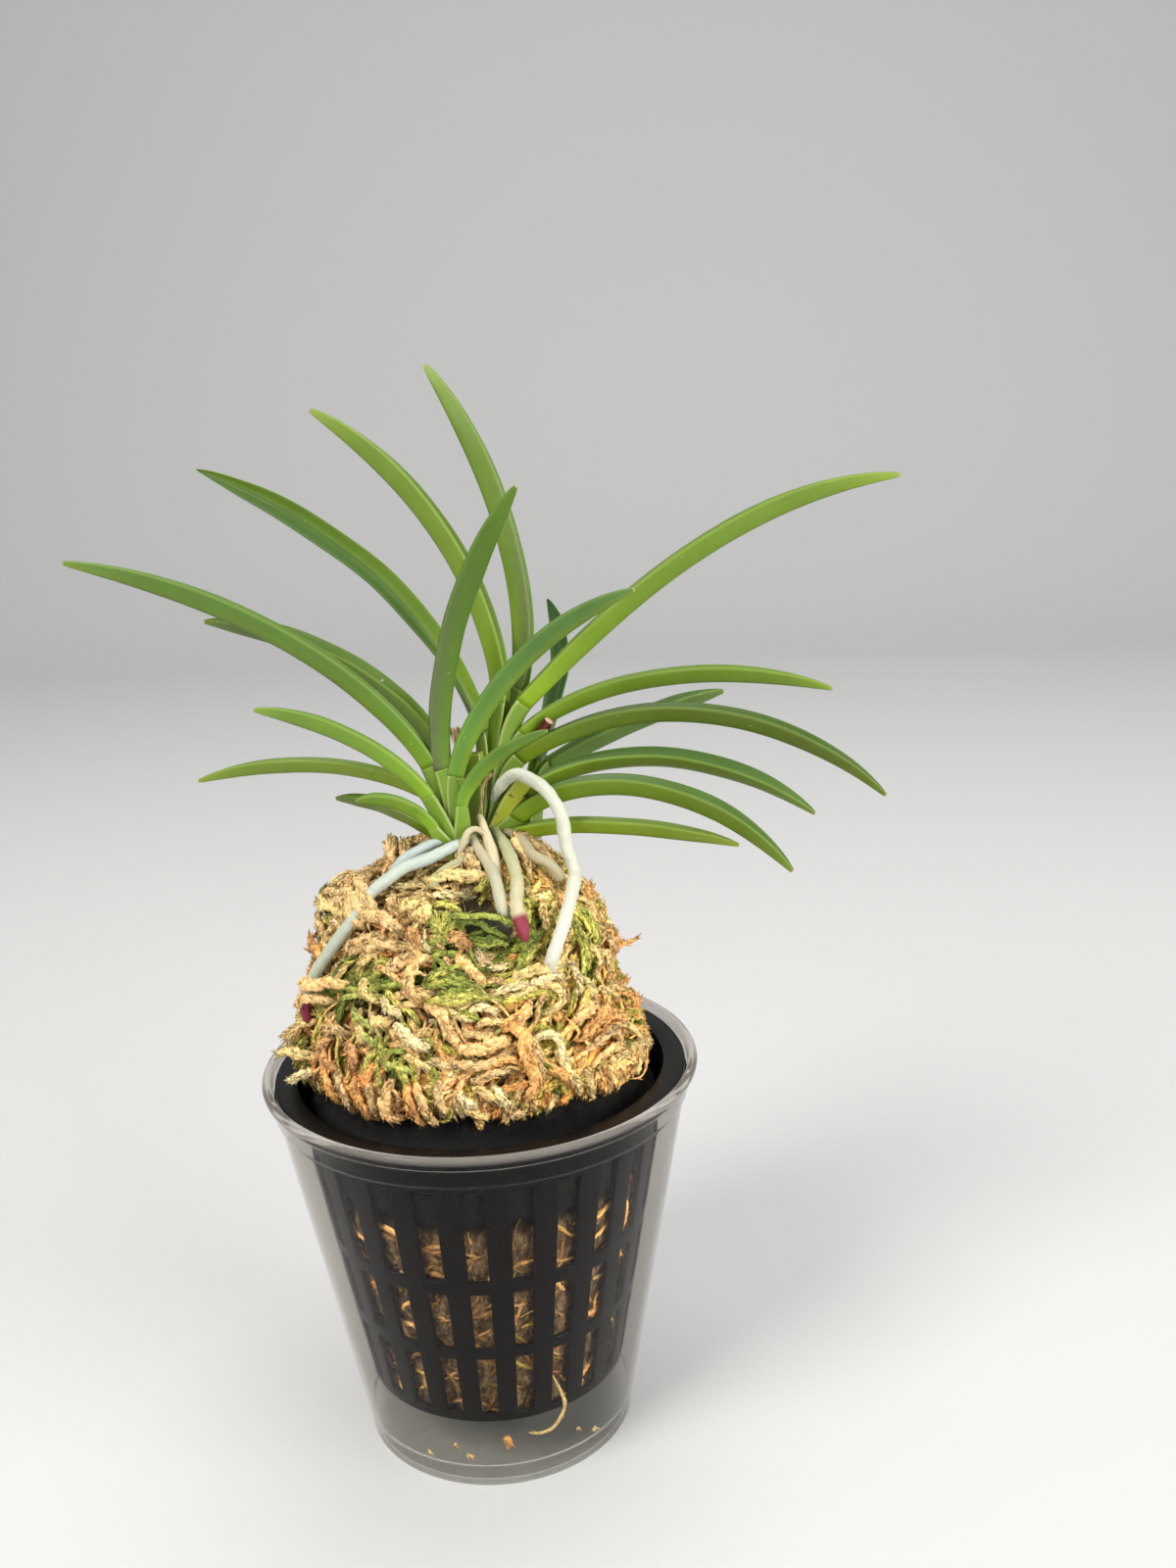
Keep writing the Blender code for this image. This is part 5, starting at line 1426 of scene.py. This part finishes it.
sheath_finish = Finish(
    "leaf_base_skin", Specular_IOR_Level=0.4, Subsurface_Weight=0.10, Subsurface_Scale=0.002)
sheath_finish.shader.inputs["Subsurface Radius"].default_value = (0.4, 0.6, 0.1)
across = sheath_finish.stored("across")
along = sheath_finish.stored("along")
number = sheath_finish.stored("number")
strip_place = sheath_finish.node(
    "CombineXYZ", inputs={0: across * 16.0, 1: along * 1.2, 2: number * 5.1})
veins = sheath_finish.noise(3.0, 4.0, 0.7, strip_place)
blotch = sheath_finish.noise(260.0, 3.0)
margin = sheath_finish.rise(abs(across), 0.90, 0.97)
lower_part = sheath_finish.rise(along, 0.65, 0.0)
base = sheath_finish.mix(lower_part * 0.8, (0.15, 0.26, 0.022), (0.26, 0.34, 0.05))
# Yellowing, which on old_base_2 is painted light as well.
yellowed = sheath_finish.stored("yellowed")
base = sheath_finish.mix(yellowed * 0.75, base, (0.40, 0.42, 0.03))
base = sheath_finish.shade(base, 0.70 + 0.42 * veins + 0.25 * blotch)
base = sheath_finish.mix(margin * 0.36, base, (0.50, 0.56, 0.22))
foot_brown = sheath_finish.rise(along + 0.10 * blotch, 0.20, 0.02)
base = sheath_finish.mix(foot_brown * 0.7, base, (0.30, 0.20, 0.085))
mark = yellowed * sheath_finish.rise(sheath_finish.noise(700.0, 2.0), 0.65, 0.69)
base = sheath_finish.mix(mark * 0.8, base, (0.05, 0.035, 0.02))
sheath_finish.feed("Base Color", base)
sheath_finish.feed("Roughness", 0.36 + 0.2 * blotch)
sheath_finish.bump(veins, 0.3, 0.0004)


def growth_piece(name, node, foot, spreads, leaves):
    """All leaf bases of one growth, from its foot to the joints, in one mesh.

    They start round the foot, at the first spread from it on the -X side and the second on
    the other, those of lower leaves a little further out.  Each follows a cubic that leaves
    the foot upwards and arrives at the joint along the blade.  Its folded section changes
    evenly from the stem's at the foot to the blade's at the joint.
    """
    order = sorted(range(len(leaves)), key=lambda i: -leaves[i][1][2])
    t = SHEATH_SHARES[:, None]
    all_points, all_values = [], []
    for rank, i in enumerate(order):
        _, joint, compass, _, rise, _, _, _, depth, half, _ = leaves[i]
        joint = np.array(joint) + 0.25 * heading_of(compass, rise)
        out = heading_of(float(compass), 0.0)
        start = np.array(foot) + out * (spreads[0 if out[0] < 0 else 1] + 0.10 * rank)
        reach = np.linalg.norm(joint - start)
        leave = 0.45 * (joint - start) + np.array([0.0, 0.0, 0.5 * (rise / 90.0) ** 2 * reach])
        arrive = heading_of(compass, rise) * reach * 0.75
        line = ((2 * t**3 - 3 * t**2 + 1) * start + (t**3 - 2 * t**2 + t) * leave
                + (3 * t**2 - 2 * t**3) * joint + (t**3 - t**2) * arrive)
        tangent = unit(np.gradient(line, axis=0))
        across, _ = section_axes(*np.array((compass, rise, 0.0)))
        across = unit(across - tangent * (tangent @ across)[:, None])
        up = np.cross(tangent, across)
        s = SHEATH_SHARES
        widths = (STEM_HALF + 0.22 * rank) * (1 - s) + half * 0.50 * s
        depths = (STEM_DEPTH + 0.15 * rank) * (1 - s) + depth * 0.80 * s
        thick = np.full(len(s), SHEATH_THICK)
        a, b, u, _ = folded_section(widths, depths, thick, LEAF_AROUND)
        all_points.append(
            line[:, None] + a[..., None] * across[:, None] + b[..., None] * up[:, None])
        all_values.append(np.stack([
            np.broadcast_to(u, a.shape), np.broadcast_to(s[:, None], a.shape),
            np.full(a.shape, rank), np.full(a.shape, YELLOWED_AND_LIT.get(leaves[i][0], 0.0))], axis=-1))
    rings = np.array(all_points)
    mesh = make_mesh(name, with_ends(rings), *tube_faces(*rings.shape[:3]))
    values = with_ends(np.array(all_values).astype(float))
    for column, label in enumerate(("across", "along", "number", "yellowed")):
        keep(mesh, label, values[:, column])
    piece = show(name, mesh, sheath_finish)
    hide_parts(node)
    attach(piece, "root")


growth_piece("left_leaf_bases", "left_growth_stem", LEFT_FOOT, (0.6, 0.6), LEFT_LEAVES)
growth_piece("main_leaf_bases", "main_growth_stem", MAIN_FOOT, (2.2, 1.1), MAIN_LEAVES + OLD_BASES)
growth_piece("back_leaf_bases", "back_growth_stem", BACK_FOOT, (0.5, 0.5), BACK_LEAVES)


# ------------------------------------------------------------------ aerial roots
# Thick roots in a silver, slightly wrinkled skin.  The freshest are bluish white, those at
# the crown grey and stained, and two end in a smooth wine-red growing tip.
SILVER = (0.57, 0.58, 0.48)
BLUISH = (0.43, 0.49, 0.46)
GREENISH = (0.34, 0.38, 0.19)
STAINED = (0.42, 0.36, 0.23)
WINE = (0.22, 0.022, 0.045)
ROOT_SIDES = 20
ROOTS = (
    # name, radius, tone at the plant, tone at the far end, share of the length that is wine
    ("root_01", 1.40, SILVER, SILVER, 0.0, (
        (5.6, 0.4, 137.4), (6.3, -1.0, 139.6), (7.6, -2.8, 141.9), (9.6, -4.6, 144.1),
        (12.1, -6.4, 144.9),
        (16.6, -7.6, 142.3), (19.5, -8.0, 137.2), (20.4, -8.0, 130.4), (21.8, -9.0, 126.0),
        (21.6, -13.4, 124.0), (20.4, -20.0, 120.6), (18.6, -24.6, 116.2), (17.5, -25.2, 113.3),
        (16.9, -23.8, 110.6))),
    ("root_02", 1.4, GREENISH, (0.58, 0.50, 0.33), 0.17, (
        (5.4, -1.6, 133.0), (7.6, -6.2, 131.6), (9.9, -12.5, 129.8), (11.3, -18.0, 127.4),
        (11.5, -23.2, 124.2), (12.6, -26.0, 121.0), (13.2, -27.4, 118.4))),
    ("root_03", 1.2, (0.62, 0.54, 0.37), (0.50, 0.45, 0.28), 0.0, (
        (3.2, -5.0, 136.8), (4.0, -6.6, 135.4), (5.2, -8.8, 132.7), (6.2, -11.4, 130.6),
        (6.8, -13.6, 128.2), (7.0, -15.0, 125.6))),
    ("root_04", 1.2, STAINED, (0.46, 0.47, 0.35), 0.0, (
        (2.0, -5.4, 133.2), (2.4, -8.9, 132.6), (5.0, -13.0, 129.9), (7.0, -17.2, 127.9),
        (8.6, -22.8, 124.2), (9.1, -22.8, 121.6), (9.1, -20.6, 119.6))),
    ("root_05", 1.3, BLUISH, BLUISH, 0.0, (
        (-2.4, -8.0, 132.6), (-5.6, -10.0, 132.5), (-8.2, -11.2, 131.5), (-11.0, -12.5, 130.0),
        (-13.6, -13.4, 127.0))),
    ("root_06", 1.3, BLUISH, (0.46, 0.50, 0.38), 0.13, (
        (1.4, -8.6, 132.6), (-1.2, -11.2, 132.4), (-5.6, -14.0, 131.0), (-10.4, -15.2, 129.6),
        (-13.3, -16.6, 128.0), (-17.3, -17.6, 125.0), (-20.0, -18.6, 121.2), (-23.6, -17.8, 116.6),
        (-29.2, -15.8, 108.8), (-31.6, -16.0, 103.6), (-31.6, -16.8, 98.6))),
    ("root_07", 1.0, STAINED, GREENISH, 0.0, (
        (2.4, -10.4, 131.8), (1.1, -12.6, 130.6), (-1.4, -14.8, 129.5), (-3.7, -16.6, 128.3),
        (-5.4, -17.6, 126.0))),
    ("root_08", 0.78, (0.64, 0.56, 0.36), STAINED, 0.0, (
        (4.7, -7.4, 132.6), (4.0, -8.6, 134.3), (2.9, -9.7, 135.3), (1.6, -10.5, 134.9),
        (0.5, -11.3, 132.6), (-0.4, -11.8, 130.0))),
    ("root_09", 1.2, STAINED, (0.38, 0.33, 0.21), 0.0, (
        (7.6, -1.6, 132.4), (11.0, -4.6, 131.6), (13.9, -9.4, 129.6), (17.2, -10.4, 127.8),
        (19.6, -10.6, 124.4))))


def round_rings(line, tangent, radii, sides):
    """Rings square to a line, with a radius for each ring and side."""
    lean = np.array([0.27, 0.91, 0.32])
    side = unit(np.cross(tangent, lean))
    up = np.cross(side, tangent)
    turn_round = (np.arange(sides) * 2 * np.pi / sides)[None, :]
    return (line[:, None] + (radii * np.cos(turn_round))[..., None] * side[:, None]
            - (radii * np.sin(turn_round))[..., None] * up[:, None])


def round_end(distance, reach, least):
    """Share of the full radius at a distance from an end that is rounded over a reach.

    It is a quarter of an ellipse, but not less than the root of least.
    """
    return np.sqrt(np.clip(1 - (1 - np.clip(distance / reach, 0, 1)) ** 2, least, 1))


# Wrinkles run along the root, by its own places round and along it.
root_finish = Finish("root_skin", Specular_IOR_Level=0.35)
tone = root_finish.stored("tone", out=0)
wine = root_finish.stored("wine")
around = root_finish.stored("around", out=1)
length_place = root_finish.node(
    "VectorMath", {"operation": "MULTIPLY"}, {0: around, 1: (2.2, 2.2, 0.22)})
wrinkle = root_finish.noise(1.6, 4.0, 0.65, length_place)
cloud = root_finish.noise(420.0, 4.0, 0.6)
pits = root_finish.noise(1900.0, 3.0, 0.7)
silver = root_finish.shade(tone, 0.62 + 0.42 * wrinkle + 0.34 * cloud)
stain = root_finish.rise(cloud * 0.6 + pits * 0.4, 0.56, 0.70)
silver = root_finish.mix(stain * 0.35, silver, (0.34, 0.29, 0.16))
silver = root_finish.mix(wine, silver, WINE)
root_finish.feed("Base Color", silver)
root_finish.feed("Roughness", 0.58 - 0.30 * wine + 0.12 * cloud)
root_finish.bump(0.6 * wrinkle + 0.4 * pits, 0.6, 0.0007)

for index, (name, radius, near_tone, far_tone, wine_share, knots) in enumerate(ROOTS):
    line, tangent = smooth_line(knots, 14)
    share = np.linspace(0.0, 1.0, len(line))
    travel = np.concatenate([[0.0], np.cumsum(np.linalg.norm(np.diff(line, axis=0), axis=1))])
    far_end = round_end(travel[-1] - travel, 3.4 if wine_share else 1.1, 0.02)
    near_end = round_end(travel, 0.8, 0.1) * (0.62 + 0.38 * np.clip(travel / 7.0, 0, 1))
    lumps = 1 + 0.05 * waves(line, 7.0, 6, 200 + index) + 0.02 * waves(line, 2.0, 6, 300 + index)
    even_rings = round_rings(line, tangent, np.full((len(line), ROOT_SIDES), radius), ROOT_SIDES)
    ring_lumps = waves(even_rings, 1.9, 16, 400 + index)
    radii = 0.93 * radius * (far_end * near_end * lumps)[:, None] * (1 + 0.03 * ring_lumps)
    rings = round_rings(line, tangent, radii, ROOT_SIDES)
    mesh = make_mesh(name + "_skin", with_ends(rings[None]), *tube_faces(1, *rings.shape[:2]))
    tone = np.array(near_tone) * (1 - share[:, None]) + np.array(far_tone) * share[:, None]
    red = np.zeros(len(share))
    if wine_share:
        red = np.clip((travel / travel[-1] - (1 - wine_share)) / 0.03, 0, 1)
    turn_round = np.arange(ROOT_SIDES) * 2 * np.pi / ROOT_SIDES
    shape = rings.shape[:2]
    places = np.stack([
        np.broadcast_to(np.cos(turn_round), shape), np.broadcast_to(np.sin(turn_round), shape),
        np.broadcast_to(travel[:, None], shape)], axis=-1)
    keep(mesh, "tone", with_ends(np.broadcast_to(tone[:, None], shape + (3,))[None]))
    keep(mesh, "wine", with_ends(np.broadcast_to(red[:, None, None], shape + (1,))[None]))
    mesh.attributes.new("around", "FLOAT_VECTOR", "POINT").data.foreach_set(
        "vector", with_ends(places[None]).astype(np.float32).ravel())
    piece = show(name + "_skin", mesh, root_finish)
    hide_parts(name)
    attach(piece, "root")


# ------------------------------------------------------------------ cut flower stem and dry sheaths
# The stub of last season's flower stem, red-brown with a pale cut end, and two papery
# remains of old leaf bases, torn and curled beside the stems.
STUB_RADIUS = 0.95
STUB_SIDES = 20
STUB_LINE = ((11.4, 1.4, 146.2), (15.0, -0.4, 151.0), (17.6, -1.4, 154.4))
STRIPS = 5
STRIP_SIDES = 8
STRIP_HALF_THICK = 0.14
DRY_SHEATHS = (  # name, width, places along it
    ("dry_sheath_1", 2.2, ((1.2, -1.0, 143.0), (0.2, -0.6, 148.0), (-0.6, -0.8, 153.5))),
    ("dry_sheath_2", 0.36, (
        (3.0, -3.6, 136.0), (3.9, -4.0, 139.6), (4.7, -4.3, 143.0), (6.2, -4.0, 144.9))))

stub_finish = Finish("flower_stem_skin", Specular_IOR_Level=0.4)
cut = stub_finish.stored("cut")
streak = stub_finish.noise(900.0, 4.0, 0.6, stub_finish.place((1.0, 1.0, 0.25)))
red = stub_finish.mix(streak, (0.035, 0.006, 0.004), (0.17, 0.028, 0.014))
stub_finish.feed("Base Color", stub_finish.mix(cut, red, (0.62, 0.40, 0.30)))
stub_finish.feed("Roughness", 0.38 + 0.4 * cut)
stub_finish.bump(streak, 0.3, 0.0003)

# Its last three rings draw in over the cut end.
line, tangent = smooth_line(STUB_LINE, 16)
line = np.concatenate([line, line[-1:], line[-1:] - tangent[-1:] * 0.25])
tangent = np.concatenate([tangent, tangent[-1:], tangent[-1:]])
stub_lumps = 1 + 0.06 * waves(line, 5.0, 6, 31)
radii = np.full((len(line), STUB_SIDES), STUB_RADIUS) * stub_lumps[:, None]
radii[-2] *= 0.86
radii[-1] *= 0.5
rings = round_rings(line, tangent, radii, STUB_SIDES)
mesh = make_mesh("flower_stem_stub", with_ends(rings[None]), *tube_faces(1, *rings.shape[:2]))
cut_rows = np.zeros((1,) + rings.shape[:2] + (1,))
cut_rows[:, -2:] = 1.0
keep(mesh, "cut", with_ends(cut_rows))
stub = show("flower_stem_stub", mesh, stub_finish)
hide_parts("cut_flower_stem")
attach(stub, "root")

paper_finish = Finish("dry_sheath_paper", Specular_IOR_Level=0.2)
streak = paper_finish.noise(1500.0, 4.0, 0.7, paper_finish.place((1.0, 1.0, 0.12)))
paper_tone = paper_finish.node("ValToRGB", {"stops": (
    (0.30, (0.12, 0.06, 0.03)), (0.48, (0.42, 0.26, 0.13)),
    (0.66, (0.72, 0.56, 0.36)))}, {0: streak})
paper_finish.feed("Base Color", paper_tone)
paper_finish.feed("Roughness", 0.75 + 0.15 * streak)
paper_finish.bump(streak, 0.6, 0.0005)

# Each sheath is a fan of torn strips, which spread and curl away from its line.
for index, (name, width, knots) in enumerate(DRY_SHEATHS):
    rng = np.random.default_rng(500 + index)
    line, tangent = smooth_line(knots, 16)
    share = np.linspace(0, 1, len(line))
    side = unit(np.cross(tangent, np.array([0.25, 0.95, 0.1])))
    up = np.cross(side, tangent)
    strips = []
    for strip in range(STRIPS):
        place = strip - STRIPS // 2
        aside = place * 0.24 * width * (0.6 + 0.8 * share)
        aside = aside + min(0.25, 0.33 * width) * np.sin(5 * share + rng.uniform(0, 6))
        curl = 0.5 * width * (rng.uniform(-0.4, 0.7) * share**2 + 0.12 * place**2)
        middle = line + side * aside[:, None] + up * curl[:, None]
        taper = np.sqrt(np.clip(1 - share ** rng.uniform(3, 9), 0.03, 1)) * 0.22 * width
        turn_round = np.arange(STRIP_SIDES) * 2 * np.pi / STRIP_SIDES
        strips.append(
            middle[:, None] + (taper[:, None] * np.cos(turn_round))[..., None] * side[:, None]
            - (STRIP_HALF_THICK * np.sin(turn_round))[None, :, None] * up[:, None])
    rings = np.array(strips)
    mesh = make_mesh(name + "_strips", with_ends(rings), *tube_faces(*rings.shape[:3]))
    piece = show(name + "_strips", mesh, paper_finish)
    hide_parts(name)
    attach(piece, "root")
